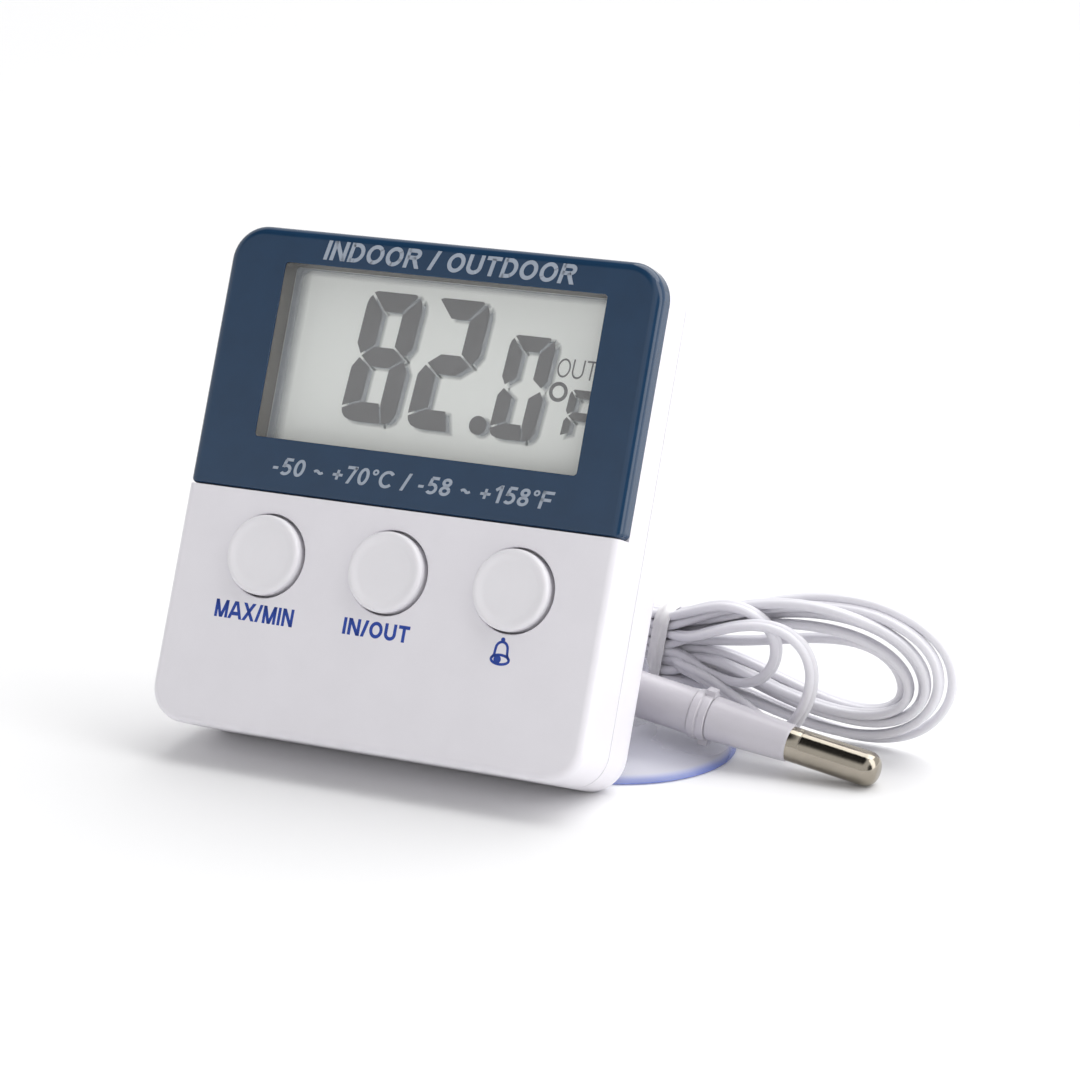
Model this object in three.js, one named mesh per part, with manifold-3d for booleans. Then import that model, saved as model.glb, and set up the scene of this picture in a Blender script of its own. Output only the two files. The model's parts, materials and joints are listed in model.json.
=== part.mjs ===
// Maximum minimum thermometer with a leaning case, a remote probe on a thin twin lead, and a suction cup.
// Millimetres, +Z up, the face looks along -Y. The origin is on the table, under the middle of the case.
import * as THREE from 'three';
import { mergeVertices } from 'three/addons/utils/BufferGeometryUtils.js';
import Module from 'manifold-3d';

const wasm = await Module();
wasm.setup();

// ---- driving dimensions ----------------------------------------------------------------------
const CASE_WIDTH = 65;
const CASE_HEIGHT = 69;
const CASE_DEPTH = 17;
const PARTING = 8.7; // depth of the joint line between the two shells, from the face
const CORNER = 5; // corner radius of the case's outline
const FRONT_EDGE = 1.2; // rounding of the face's edge
const BACK_EDGE = 3; // rounding of the back's edge
const WALL = 1.7;
const LEAN = THREE.MathUtils.degToRad(23); // how far the case leans back on its leg
const FIT = 0.3; // gap that pieces keep to each other

const BEZEL_BOTTOM = 32.6; // lower edge of the blue bezel
const BEZEL_SKIRT = 3; // depth of the bezel's turned edge
const BEZEL_PLATE = 1.2;
const WINDOW = { x: 0.1, z: 52.25, width: 48.5, height: 24.2 };
const GLASS_FACE = 3.6; // depth of the display glass behind the face
const GLASS = { width: 51, height: 27, thick: 2.6, ledge: 1.5 }; // the rear sheet's ledge holds the contacts

const BUTTON_PITCH = 18.64;
const BUTTON_HEIGHT = 24;
const BUTTON_RADIUS = 5.45;
const BUTTON_HOLE = 5.85;
const BUTTON_PAD = { radius: 2.6, thick: 0.7 };

const BOARD_FACE = 8.4;
const BOARD_THICK = 1;

const BAY_SILL = 1.2; // the leg's bay is closed below this height
const HINGE = { depth: 15.2, height: 30 }; // the leg's pin, from the face and from the bottom
const LEG_SLOPE = THREE.MathUtils.degToRad(14); // the open leg, from upright
const LEG_WIDTH = 13;
const LEG_THICK = 1.8;
const PIN_RADIUS = 1.1;

const SCREWS = [[-27.8, 6.8], [27.8, 6.8], [-27.8, 34], [27.8, 34]];
const BOSS = { radius: 2.3, pilot: 0.8, rearRadius: 2.6, shankHole: 1.3, headSink: 3.2 };
const BOARD_SCREWS = { x: 20, z: 35.2 };
const CELL = { x: 15, z: 50, radius: 5.8, thick: 5.4, rear: 15.4 };
const CAP = { radius: 8, lug: 9, thick: 1.3, lugThick: 0.5, turn: 40, lugSpread: 14, notchSpread: 17 };
const BUZZER = { x: -15, z: 50, radius: 7, thick: 1.2, holeCircle: 3, hole: 0.7 };
const SWITCH = { x: 19, z: 20, travel: 2, halfSlot: 2.9 };
const VENT = { x: -19, z: 22, half: 6, rows: 5, pitch: 3, slit: 1.2 };
const KEYHOLE = { z: 58, head: 3.4, neck: 1.7, rise: 4.5, deep: 3.4, skin: 1.3 };
const LEAD_EXIT = { x: -16, z: 8, radius: 2.1 };

const CUP = { x: 24, y: 11, radius: 15.8 };
const PROBE_FALL = THREE.MathUtils.degToRad(9.5); // the probe slopes down to its tip
const PROBE_AT_CUP = 8.45; // height of the probe's axis over the middle of the cup
const BARREL_RADIUS = 3.15;

const LEAD_WIDTH = 2; // the two cores lie side by side
const LEAD_THICK = 1.25;
const TIE = { x: 25, y: 22.8, z: 11.6, halfDepth: 2.4, halfHeight: 5.6, width: 2.2, wall: 0.5 };
const TIE_TILT = THREE.MathUtils.degToRad(10);
const WAIST = { x: 2.5, y: 2.1, z: 5 }; // half sizes of the hank where the tie holds it

// ---- where the leaning case stands -----------------------------------------------------------
const sin = Math.sin(LEAN);
const cos = Math.cos(LEAN);
const LIFT = (CASE_DEPTH - BACK_EDGE) * sin + BACK_EDGE * (1 - cos);
const FRONT_REACH = FRONT_EDGE * (sin + cos - 1);
const BACK_REACH = (CASE_HEIGHT - BACK_EDGE) * sin + (CASE_DEPTH - BACK_EDGE) * cos + BACK_EDGE;
const SETBACK = (FRONT_REACH + BACK_REACH) / 2;

/** A point of the case, from its width, depth and height, in the object's own frame. */
function onCase(x, depth, height) {
  return new THREE.Vector3(x, height * sin + depth * cos - SETBACK, height * cos - depth * sin + LIFT);
}

// ---- materials -------------------------------------------------------------------------------
const FINISHES = {
  shell: [0xe2dfe8, 0.42, 0],
  bezel: [0x14273d, 0.12, 0],
  clear: [0xdfe6e6, 0.05, 0],
  display: [0xc9ccc4, 0.3, 0],
  dark: [0x55524e, 0.6, 0],
  rubber: [0x77777c, 0.8, 0],
  board: [0x2f6b45, 0.5, 0],
  epoxy: [0x16161a, 0.35, 0],
  steel: [0xbfc0c2, 0.3, 1],
  brass: [0xc9a55a, 0.35, 1],
  nickel: [0xc0b4a4, 0.18, 1],
  lead: [0xdcdbe2, 0.5, 0],
  tie: [0xd3d6d0, 0.45, 0],
  cup: [0xc4cfe4, 0.15, 0],
};

function finish(name) {
  const [color, roughness, metalness] = FINISHES[name];
  return new THREE.MeshStandardMaterial({ color, roughness, metalness });
}

// ---- solids ----------------------------------------------------------------------------------
/** A closed solid from a geometry, with its faces turned outwards. */
function solid(geometry) {
  const bare = geometry.clone();
  bare.deleteAttribute('normal');
  bare.deleteAttribute('uv');
  const merged = mergeVertices(bare, 1e-5);
  const vertProperties = new Float32Array(merged.attributes.position.array);
  const triVerts = new Uint32Array(merged.index.array);
  if (signedVolume(vertProperties, triVerts) < 0) triVerts.reverse();
  return new wasm.Manifold(new wasm.Mesh({ numProp: 3, vertProperties, triVerts }));
}

function signedVolume(points, triangles) {
  const [a, b, c] = [new THREE.Vector3(), new THREE.Vector3(), new THREE.Vector3()];
  let sum = 0;
  for (let i = 0; i < triangles.length; i += 3) {
    a.fromArray(points, triangles[i] * 3);
    b.fromArray(points, triangles[i + 1] * 3);
    c.fromArray(points, triangles[i + 2] * 3);
    sum += a.dot(b.cross(c)) / 6;
  }
  return sum;
}

function geometryOf(body) {
  const { vertProperties, triVerts } = body.getMesh();
  const geometry = new THREE.BufferGeometry();
  geometry.setAttribute('position', new THREE.BufferAttribute(vertProperties, 3));
  geometry.setIndex(new THREE.BufferAttribute(triVerts, 1));
  const faceted = geometry.toNonIndexed();
  faceted.computeVertexNormals();
  return faceted;
}

const union = (...bodies) => bodies.reduce((all, body) => all.add(body));
const cut = (body, ...tools) => tools.reduce((left, tool) => left.subtract(tool), body);

function box(x0, x1, y0, y1, z0, z1) {
  const geometry = new THREE.BoxGeometry(x1 - x0, y1 - y0, z1 - z0);
  return solid(geometry.translate((x0 + x1) / 2, (y0 + y1) / 2, (z0 + z1) / 2));
}

/** A round post along Y, the depth of the case. */
function post(x, z, radius, y0, y1, sides = 24) {
  const geometry = new THREE.CylinderGeometry(radius, radius, y1 - y0, sides);
  return solid(geometry.translate(x, (y0 + y1) / 2, z));
}

/** A turned piece whose axis is Y; the profile is a list of [radius, y] that starts and ends on the axis. */
function turned(profile, sides = 24) {
  return solid(new THREE.LatheGeometry(profile.map(([r, y]) => new THREE.Vector2(r, y)), sides));
}

function roundedRectangle(x0, x1, z0, z1, radius) {
  const shape = new THREE.Shape();
  shape.moveTo(x0 + radius, z0);
  shape.lineTo(x1 - radius, z0);
  shape.absarc(x1 - radius, z0 + radius, radius, -Math.PI / 2, 0, false);
  shape.lineTo(x1, z1 - radius);
  shape.absarc(x1 - radius, z1 - radius, radius, 0, Math.PI / 2, false);
  shape.lineTo(x0 + radius, z1);
  shape.absarc(x0 + radius, z1 - radius, radius, Math.PI / 2, Math.PI, false);
  shape.lineTo(x0, z0 + radius);
  shape.absarc(x0 + radius, z0 + radius, radius, Math.PI, Math.PI * 1.5, false);
  return shape;
}

/** A plate from an outline in the case's face, between two depths, with both its edges rounded by edge. */
function plate(shape, y0, y1, edge = 0, curveSegments = 6) {
  const geometry = new THREE.ExtrudeGeometry(shape, {
    depth: y1 - y0 - 2 * edge,
    curveSegments,
    bevelEnabled: edge > 0,
    bevelThickness: edge,
    bevelSize: edge,
    bevelOffset: -edge,
    bevelSegments: 4,
  });
  geometry.translate(0, 0, -y1 + edge);
  return solid(geometry.rotateX(Math.PI / 2));
}

/** The case's outline, drawn in by inset. */
function caseOutline(inset = 0) {
  const half = CASE_WIDTH / 2 - inset;
  return roundedRectangle(-half, half, inset, CASE_HEIGHT - inset, CORNER - inset);
}

const HALF = CASE_WIDTH / 2;
const slab = (y0, y1) => box(-HALF - 1, HALF + 1, y0, y1, -1, CASE_HEIGHT + 1);

function windowOpening(grow, y0, y1) {
  const x = WINDOW.width / 2 + grow;
  const z = WINDOW.height / 2 + grow;
  const shape = roundedRectangle(WINDOW.x - x, WINDOW.x + x, WINDOW.z - z, WINDOW.z + z, 0.6);
  return plate(shape, y0, y1, 0, 2);
}

function lensOutline(inset) {
  const x = HALF - inset;
  return roundedRectangle(-x, x, BEZEL_BOTTOM + inset, CASE_HEIGHT - inset, CORNER - inset);
}

// ---- the case --------------------------------------------------------------------------------
function frontCover() {
  const outer = plate(caseOutline(), 0, CASE_DEPTH, FRONT_EDGE).intersect(slab(-1, PARTING));
  const upper = box(-HALF - 1, HALF + 1, -1, BEZEL_SKIRT + FIT, BEZEL_BOTTOM - FIT, CASE_HEIGHT + 1);
  const plateau = plate(lensOutline(WALL + FIT), BEZEL_PLATE + FIT, BEZEL_SKIRT + 1);
  const hollowFace = BEZEL_SKIRT + FIT + WALL;
  const hollow = plate(caseOutline(WALL), hollowFace, PARTING + 1);
  const lowHollow = plate(caseOutline(WALL), WALL, PARTING + 1)
    .intersect(box(-HALF, HALF, 0, PARTING + 2, 0, BEZEL_BOTTOM - 1.5));
  const tools = [hollow, lowHollow, windowOpening(2.7, -1, PARTING)];
  for (const side of [-1, 0, 1]) {
    tools.push(post(side * BUTTON_PITCH, BUTTON_HEIGHT, BUTTON_HOLE, -1, WALL + 1, 40));
  }
  let body = cut(union(cut(outer, upper), plateau), ...tools);
  for (const [x, z] of SCREWS) {
    const root = z < BEZEL_BOTTOM - 5 ? WALL - 0.1 : hollowFace - 0.1;
    const pilot = post(x, z, BOSS.pilot, hollowFace + 0.2, PARTING, 12);
    body = body.add(cut(post(x, z, BOSS.radius, root, PARTING - 0.2, 16), pilot));
  }
  return body;
}

function lensBezel() {
  const outer = plate(caseOutline(), 0, CASE_DEPTH, FRONT_EDGE).intersect(
    box(-HALF - 1, HALF + 1, -1, BEZEL_SKIRT, BEZEL_BOTTOM, CASE_HEIGHT + 1));
  const pocket = plate(lensOutline(WALL), BEZEL_PLATE, BEZEL_SKIRT + 1);
  return cut(outer, pocket, windowOpening(0, -1, BEZEL_PLATE + 1));
}

function windowPane() {
  const x = WINDOW.width / 2 - 0.25;
  const z = WINDOW.height / 2 - 0.25;
  const shape = roundedRectangle(WINDOW.x - x, WINDOW.x + x, WINDOW.z - z, WINDOW.z + z, 0.6);
  return plate(shape, 0.3, 1.1, 0, 2);
}

function lcdFrame() {
  const opening = windowOpening(0.4, 0, GLASS_FACE);
  const x = GLASS.width / 2 + 0.3;
  const z = GLASS.height / 2 + 0.3;
  const seat = box(WINDOW.x - x, WINDOW.x + x, GLASS_FACE - 0.3, BOARD_FACE, WINDOW.z - z, WINDOW.z + z);
  return cut(windowOpening(2.4, BEZEL_PLATE + FIT, BOARD_FACE - FIT), opening, seat);
}

function lcdGlass() {
  const left = WINDOW.x - GLASS.width / 2;
  const right = WINDOW.x + GLASS.width / 2;
  const low = WINDOW.z - GLASS.height / 2;
  const high = WINDOW.z + GLASS.height / 2;
  const middle = GLASS_FACE + GLASS.thick / 2;
  const rear = box(left, right, middle, GLASS_FACE + GLASS.thick, low, high);
  const front = box(left, right, GLASS_FACE, middle, low + GLASS.ledge, high);
  return union(rear, front);
}

function circuitBoard() {
  const outline = roundedRectangle(-24, 24, 14.5, 67, 1);
  const body = plate(outline, BOARD_FACE, BOARD_FACE + BOARD_THICK, 0, 2);
  const holes = [-1, 1].map((side) => post(side * BOARD_SCREWS.x, BOARD_SCREWS.z, 1.2, 0, 12, 12));
  return cut(body, ...holes);
}

function button() {
  return turned([
    [0, -0.75], [3.9, -0.75], [4.4, -0.95], [4.9, -0.98], [5.25, -0.85], [BUTTON_RADIUS, -0.5],
    [BUTTON_RADIUS, 2.05], [6.7, 2.05], [6.7, 3], [1.8, 3], [1.8, 6.5], [0, 6.5],
  ]);
}

function backCover() {
  const outer = plate(caseOutline(), 0, CASE_DEPTH, BACK_EDGE).intersect(slab(PARTING + 0.1, CASE_DEPTH + 1));
  const inner = CASE_DEPTH - WALL;
  const outside = CASE_DEPTH + 1;
  let body = cut(outer, plate(caseOutline(WALL), PARTING - 1, inner));
  // the leg's bay, with a cheek on each side that holds its pin
  const bayHalf = LEG_WIDTH / 2 + 0.4;
  body = union(
    body,
    box(-bayHalf - 2.2, bayHalf + 2.2, HINGE.depth - 2.6, inner + 0.5, 1, HINGE.height + 4.2),
    // seats of the battery's cap, the buzzer and the hanging hole
    post(CELL.x, CELL.z, CAP.lug + 1.8, inner - 1.6, inner + 0.5, 32),
    post(BUZZER.x, BUZZER.z, BUZZER.radius + 1, inner - 0.6, inner + 0.5, 24),
    box(-6, 6, CASE_DEPTH - KEYHOLE.deep - 1.2, inner + 0.5, KEYHOLE.z - 5, KEYHOLE.z + 8.5),
  );
  for (const [x, z] of SCREWS) {
    body = body.add(post(x, z, BOSS.rearRadius, PARTING + 0.4, inner + 0.5, 16));
  }
  const bay = box(-bayHalf, bayHalf, HINGE.depth - 1.3, outside, BAY_SILL, HINGE.height + 2.2);
  const pins = new THREE.CylinderGeometry(PIN_RADIUS + 0.2, PIN_RADIUS + 0.2, 2 * bayHalf + 3, 20);
  pins.rotateZ(Math.PI / 2).translate(0, HINGE.depth, HINGE.height);
  const tools = [bay, solid(pins), ...capSeat(), ...keyhole()];
  for (const [x, z] of SCREWS) {
    tools.push(post(x, z, BOSS.shankHole, PARTING, outside, 12));
    tools.push(post(x, z, BOSS.radius, CASE_DEPTH - BOSS.headSink, outside, 16));
  }
  for (let row = 0; row < VENT.rows; row += 1) {
    const low = VENT.z + (row - (VENT.rows - 1) / 2) * VENT.pitch - VENT.slit / 2;
    tools.push(box(VENT.x - VENT.half, VENT.x + VENT.half, inner - 1, outside, low, low + VENT.slit));
  }
  tools.push(post(BUZZER.x, BUZZER.z, BUZZER.hole, inner - 2, outside, 8));
  for (let turn = 0; turn < 2 * Math.PI - 0.1; turn += Math.PI / 3) {
    const x = BUZZER.x + BUZZER.holeCircle * Math.cos(turn);
    const z = BUZZER.z + BUZZER.holeCircle * Math.sin(turn);
    tools.push(post(x, z, BUZZER.hole, inner - 2, outside, 8));
  }
  const slotLow = SWITCH.z - SWITCH.halfSlot;
  tools.push(box(SWITCH.x - 1.7, SWITCH.x + 1.7, inner - 1, outside, slotLow, slotLow + 2 * SWITCH.halfSlot));
  tools.push(post(LEAD_EXIT.x, LEAD_EXIT.z, LEAD_EXIT.radius, inner - 1, outside, 16));
  return cut(body, ...tools);
}

/** The stepped hole of the battery's cap: a groove for its lugs, open to the back at two notches. */
function capSeat() {
  const floor = CASE_DEPTH - CAP.thick - FIT;
  const outside = CASE_DEPTH + 1;
  const groove = floor + CAP.lugThick + 0.55;
  const notch = (at) => capSector(CAP.lug + FIT, at - CAP.turn, CAP.notchSpread, floor, outside);
  return [
    post(CELL.x, CELL.z, CELL.radius + FIT, 12, outside, 32),
    post(CELL.x, CELL.z, CAP.radius + FIT, floor, outside, 40),
    post(CELL.x, CELL.z, CAP.lug + FIT, floor, groove, 40),
    notch(0),
    notch(180),
  ];
}

/** A sector of a disc round the battery's axis, at an angle in degrees and that many degrees to each side. */
function capSector(radius, at, spread, y0, y1) {
  const shape = new THREE.Shape();
  const from = THREE.MathUtils.degToRad(at - spread);
  const to = THREE.MathUtils.degToRad(at + spread);
  shape.moveTo(0, 0);
  shape.absarc(0, 0, radius, from, to, false);
  shape.lineTo(0, 0);
  return plate(shape, y0, y1, 0, 8).translate([CELL.x, 0, CELL.z]);
}

function batteryCap() {
  const inside = CASE_DEPTH - CAP.thick;
  const disc = post(CELL.x, CELL.z, CAP.radius, inside, CASE_DEPTH, 40);
  const lugs = [0, 180].map((at) => capSector(CAP.lug, at, CAP.lugSpread, inside, inside + CAP.lugThick));
  const slot = box(CELL.x - 5.5, CELL.x + 5.5, CASE_DEPTH - 0.7, CASE_DEPTH + 1, CELL.z - 0.9, CELL.z + 0.9);
  return cut(union(disc, ...lugs), slot);
}

/** A round hole for a screw's head with a narrow slot above it, undercut behind the back's skin. */
function keyhole() {
  const floor = CASE_DEPTH - KEYHOLE.deep;
  const top = KEYHOLE.z + KEYHOLE.rise;
  return [
    post(0, KEYHOLE.z, KEYHOLE.head, floor, CASE_DEPTH + 1, 24),
    post(0, top, KEYHOLE.neck, floor, CASE_DEPTH + 1, 16),
    box(-KEYHOLE.neck, KEYHOLE.neck, floor, CASE_DEPTH + 1, KEYHOLE.z, top),
    box(-KEYHOLE.head, KEYHOLE.head, floor, CASE_DEPTH - KEYHOLE.skin, KEYHOLE.z, top),
  ];
}

// ---- the leg ---------------------------------------------------------------------------------
/** The open leg, hung from its pin at the origin and cut level with the table. */
function standLeg(hingeHeight) {
  const half = LEG_WIDTH / 2;
  const reach = hingeHeight / Math.cos(LEG_SLOPE);
  const shape = new THREE.Shape();
  shape.moveTo(-half, 0);
  shape.lineTo(-half, -reach * 0.5);
  shape.lineTo(-half + 1.2, -reach - 1);
  shape.lineTo(half - 1.2, -reach - 1);
  shape.lineTo(half, -reach * 0.5);
  shape.lineTo(half, 0);
  const blade = plate(shape, -LEG_THICK / 2, LEG_THICK / 2);
  const lighten = plate(roundedRectangle(-3.6, 3.6, -reach + 5, -6, 1.5), 0.3, LEG_THICK, 0, 4);
  const pin = new THREE.CylinderGeometry(PIN_RADIUS, PIN_RADIUS, LEG_WIDTH + 2.8, 16).rotateZ(Math.PI / 2);
  const leaning = cut(union(blade, solid(pin)), lighten).rotate([THREE.MathUtils.radToDeg(LEG_SLOPE), 0, 0]);
  return leaning.intersect(box(-20, 20, -20, 40, -hingeHeight, 10));
}

// ---- small parts inside ----------------------------------------------------------------------
function screw(headRadius, headThick, shankRadius, length) {
  const body = turned([
    [0, -length], [shankRadius, -length], [shankRadius, 0], [headRadius, 0], [headRadius, headThick * 0.6],
    [headRadius * 0.7, headThick], [0, headThick],
  ], 12);
  const arm = headRadius * 0.6;
  return cut(body, box(-arm, arm, headThick * 0.45, headThick + 1, -0.25, 0.25),
    box(-0.25, 0.25, headThick * 0.45, headThick + 1, -arm, arm));
}

function dome(radius, height) {
  return turned([
    [0, 0], [radius, 0], [radius * 0.92, height * 0.45], [radius * 0.7, height * 0.8], [0, height],
  ], 20);
}

/** The switch's knob at the lower end of its travel. */
function switchKnob() {
  const rest = -SWITCH.travel / 2;
  const base = box(-1.3, 1.3, 13.6, 14.9, rest - 1.3, rest + 1.3);
  const tab = box(-1, 1, 14.8, CASE_DEPTH - 0.2, rest - 1, rest + 1);
  return union(base, tab);
}

/** The tapered sleeve that protects the lead where it leaves the case. */
function strainRelief() {
  return turned([
    [0, -2.4], [2.9, -2.4], [2.9, -1.9], [1.8, -1.9], [1.8, 0.5], [2.5, 0.5], [2.5, 1.2],
    [1.7, 6.5], [0, 6.5],
  ], 20);
}

// ---- the lead --------------------------------------------------------------------------------
/** A flat lead along hand-set points: two cores side by side, drawn as one eight-sided section. */
function leadTube(points, steps) {
  const curve = new THREE.CatmullRomCurve3(points.map((p) => new THREE.Vector3(...p)), false, 'centripetal');
  const radius = (LEAD_WIDTH + LEAD_THICK) / 4;
  const section = new THREE.Shape();
  for (let i = 0; i < 8; i += 1) {
    const turn = ((i + 0.5) * Math.PI) / 4;
    section[i ? 'lineTo' : 'moveTo'](radius * Math.cos(turn), radius * Math.sin(turn));
  }
  section.closePath();
  return solid(new THREE.ExtrudeGeometry(section, { steps, extrudePath: curve, bevelEnabled: false }));
}

const CASE_RUN = [
  [-16, 4, 3.6], [-16, 6.2, 2.4], [-15.8, 8.5, 1.4], [-15.2, 11.5, 1.1], [-14, 14.6, 1.15],
  [-12.6, 17.7, 1.3],
];
const PROBE_RUN = [
  [12.2, 11, 10.35], [10.6, 11.3, 10.6], [8.8, 12.4, 10.9], [7.6, 14.2, 11.2], [7.2, 16, 11.4],
  [7.3, 17.7, 11.5],
];

/** The lead's hank as one plain body, on edge: two fans of turns that narrow to the tie. */
function leadHank() {
  const profile = new THREE.Shape();
  profile.moveTo(TIE.x - WAIST.x, TIE.z - WAIST.z);
  profile.quadraticCurveTo(14, 5.5, 4, 1);
  profile.quadraticCurveTo(-18.6, -2.4, -18.6, 11.5);
  profile.quadraticCurveTo(-18.6, 23.6, -2, 22.4);
  profile.quadraticCurveTo(12, 21.2, TIE.x - WAIST.x, TIE.z + WAIST.z);
  profile.lineTo(TIE.x + WAIST.x, TIE.z + WAIST.z);
  profile.quadraticCurveTo(38, 21.4, 48, 22.6);
  profile.quadraticCurveTo(69.6, 23, 69.6, 12);
  profile.quadraticCurveTo(69.6, -1, 56, 0.3);
  profile.quadraticCurveTo(42, 0.6, TIE.x + WAIST.x, TIE.z - WAIST.z);
  const side = new THREE.ExtrudeGeometry(profile, { depth: 14, curveSegments: 8, bevelEnabled: false });
  side.rotateX(Math.PI / 2).translate(0, 29, 0);
  const plan = new THREE.Shape();
  plan.moveTo(-19, 18.1);
  plan.lineTo(14, 18.1);
  plan.lineTo(TIE.x - WAIST.x, TIE.y - WAIST.y);
  plan.lineTo(TIE.x + WAIST.x, TIE.y - WAIST.y);
  plan.lineTo(33, 15.3);
  plan.lineTo(56, 15.3);
  plan.lineTo(71, 19.5);
  plan.lineTo(71, 26);
  plan.lineTo(38, 28);
  plan.lineTo(TIE.x + WAIST.x, TIE.y + WAIST.y);
  plan.lineTo(TIE.x - WAIST.x, TIE.y + WAIST.y);
  plan.lineTo(12, 28);
  plan.lineTo(-19, 26);
  const above = new THREE.ExtrudeGeometry(plan, { depth: 30, bevelEnabled: false }).translate(0, 0, -2);
  return solid(side).intersect(solid(above)).intersect(box(-40, 90, 0, 60, 0.05, 40));
}

/** The flat tie's band, wrapped round the waist of the hank. */
function hankTie() {
  const band = (grow) => {
    const [y, z] = [TIE.halfDepth + grow, TIE.halfHeight + grow];
    return roundedRectangle(-y, y, -z, z, 1.2 + grow);
  };
  const make = (grow, width) => {
    const settings = { depth: width, curveSegments: 4, bevelEnabled: false };
    const geometry = new THREE.ExtrudeGeometry(band(grow), settings);
    return solid(geometry.translate(0, 0, -width / 2).rotateX(Math.PI / 2).rotateZ(Math.PI / 2));
  };
  return cut(make(TIE.wall, TIE.width), make(0, TIE.width + 2));
}

// ---- the probe and its cup, along +Y with the origin over the middle of the cup ---------------
function probeBoot() {
  return turned([[0, -11.6], [1.7, -11.6], [2.4, -7.4], [2.4, -6.6], [0, -6.6]], 20);
}

function probeRear() {
  const body = turned([[0, -6.3], [2.8, -6.3], [BARREL_RADIUS, -5.9], [BARREL_RADIUS, 11], [0, 11]]);
  return cut(body, post(0, 0, 2.3, 5, 12, 20));
}

function probeCollar() {
  const ring = turned([[0, 11.3], [3.3, 11.3], [3.42, 11.6], [3.42, 12.4], [3.2, 12.6], [3.2, 12.9],
    [3.35, 13.1], [3.35, 13.7], [0, 13.7]]);
  const lugs = union(box(-0.7, 0.7, 12.6, 13.9, 3, 4), box(-0.7, 0.7, 12.6, 13.9, -4, -3));
  return cut(union(ring, lugs), post(0, 0, 2.3, 11, 14, 20));
}

function probeFront() {
  return turned([
    [0, 6], [2, 6], [2, 14], [3, 14], [3.02, 14.4], [2.52, 25.4], [2, 25.4], [2, 28.4], [0, 28.4],
  ]);
}

function probeTip() {
  const profile = [[0, 25.7], [2.4, 25.7], [2.4, 36.6]];
  for (let i = 1; i < 5; i += 1) {
    const turn = (i * Math.PI) / 10;
    profile.push([1 + 1.4 * Math.cos(turn), 36.6 + 1.6 * Math.sin(turn)]);
  }
  profile.push([0, 38.3]);
  return cut(turned(profile, 28), post(0, 0, 2.15, 25, 29, 20));
}

/** A soft cup with a flat lip and a flattened knob; the barrel passes through the knob's hole. */
function suctionCup() {
  const cup = new THREE.LatheGeometry([
    [0, 2.3], [5, 2.1], [10, 1.3], [13, 0], [CUP.radius, 0], [CUP.radius, 0.5], [14.6, 1.3], [11.5, 2.2],
    [8, 2.9], [5.6, 3.5], [4.6, 4.1], [0, 4.1],
  ].map(([r, y]) => new THREE.Vector2(r, y)), 48).rotateX(Math.PI / 2);
  const knobOutline = new THREE.Shape();
  knobOutline.moveTo(-3.4, 3.6);
  knobOutline.lineTo(3.4, 3.6);
  knobOutline.lineTo(5.2, PROBE_AT_CUP - 1);
  knobOutline.absarc(0, PROBE_AT_CUP, 5.2, -0.2, Math.PI + 0.2, false);
  const knob = new THREE.ExtrudeGeometry(knobOutline, { depth: 4.2, curveSegments: 16, bevelEnabled: false });
  knob.translate(0, 0, -2.1).rotateX(Math.PI / 2).rotateZ(Math.PI / 2);
  const hole = new THREE.CylinderGeometry(BARREL_RADIUS + FIT, BARREL_RADIUS + FIT, 20, 32);
  hole.rotateZ(Math.PI / 2).rotateY(PROBE_FALL).translate(0, 0, PROBE_AT_CUP);
  return cut(union(solid(cup), solid(knob)), solid(hole));
}

// ---- assembly --------------------------------------------------------------------------------
const object = new THREE.Group();

function place(group, name, material, body, x = 0, y = 0, z = 0) {
  const mesh = new THREE.Mesh(geometryOf(body), finish(material));
  mesh.name = name;
  mesh.position.set(x, y, z);
  group.add(mesh);
  return mesh;
}

const casing = new THREE.Group();
casing.position.copy(onCase(0, 0, 0));
casing.rotation.x = -LEAN;
object.add(casing);

place(casing, 'front_cover', 'shell', frontCover());
place(casing, 'lens_bezel', 'bezel', lensBezel());
place(casing, 'window_pane', 'clear', windowPane());
place(casing, 'lcd_frame', 'dark', lcdFrame());
place(casing, 'lcd_glass', 'display', lcdGlass());
const zebra = box(-24, 24, GLASS_FACE + GLASS.thick + 0.1, BOARD_FACE - 0.1, 0, 2);
place(casing, 'zebra_strip', 'rubber', zebra, 0, 0, 39.2);
place(casing, 'circuit_board', 'board', circuitBoard());
const onBoard = BOARD_FACE + BOARD_THICK + 0.1;
place(casing, 'chip_blob', 'epoxy', dome(4.6, 1.4), 0, onBoard, 49);
place(casing, 'quartz_crystal', 'steel', box(-1, 1, 0, 1.8, 0, 6), 0, onBoard, 38);
place(casing, 'indoor_thermistor', 'epoxy', dome(1.5, 3), VENT.x, onBoard, VENT.z);
const buzzer = post(0, 0, BUZZER.radius, 0, BUZZER.thick, 32);
place(casing, 'piezo_buzzer', 'brass', buzzer, BUZZER.x, 13.2, BUZZER.z);

const BUTTONS = ['max_min_button', 'in_out_button', 'alarm_button'];
BUTTONS.forEach((name, i) => {
  const x = (i - 1) * BUTTON_PITCH;
  place(casing, name, 'shell', button(), x, 0, BUTTON_HEIGHT);
  const pad = post(0, 0, BUTTON_PAD.radius, 0, BUTTON_PAD.thick, 16);
  place(casing, `${name}_pad`, 'rubber', pad, x, BOARD_FACE - BUTTON_PAD.thick - 0.1, BUTTON_HEIGHT);
});

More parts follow.
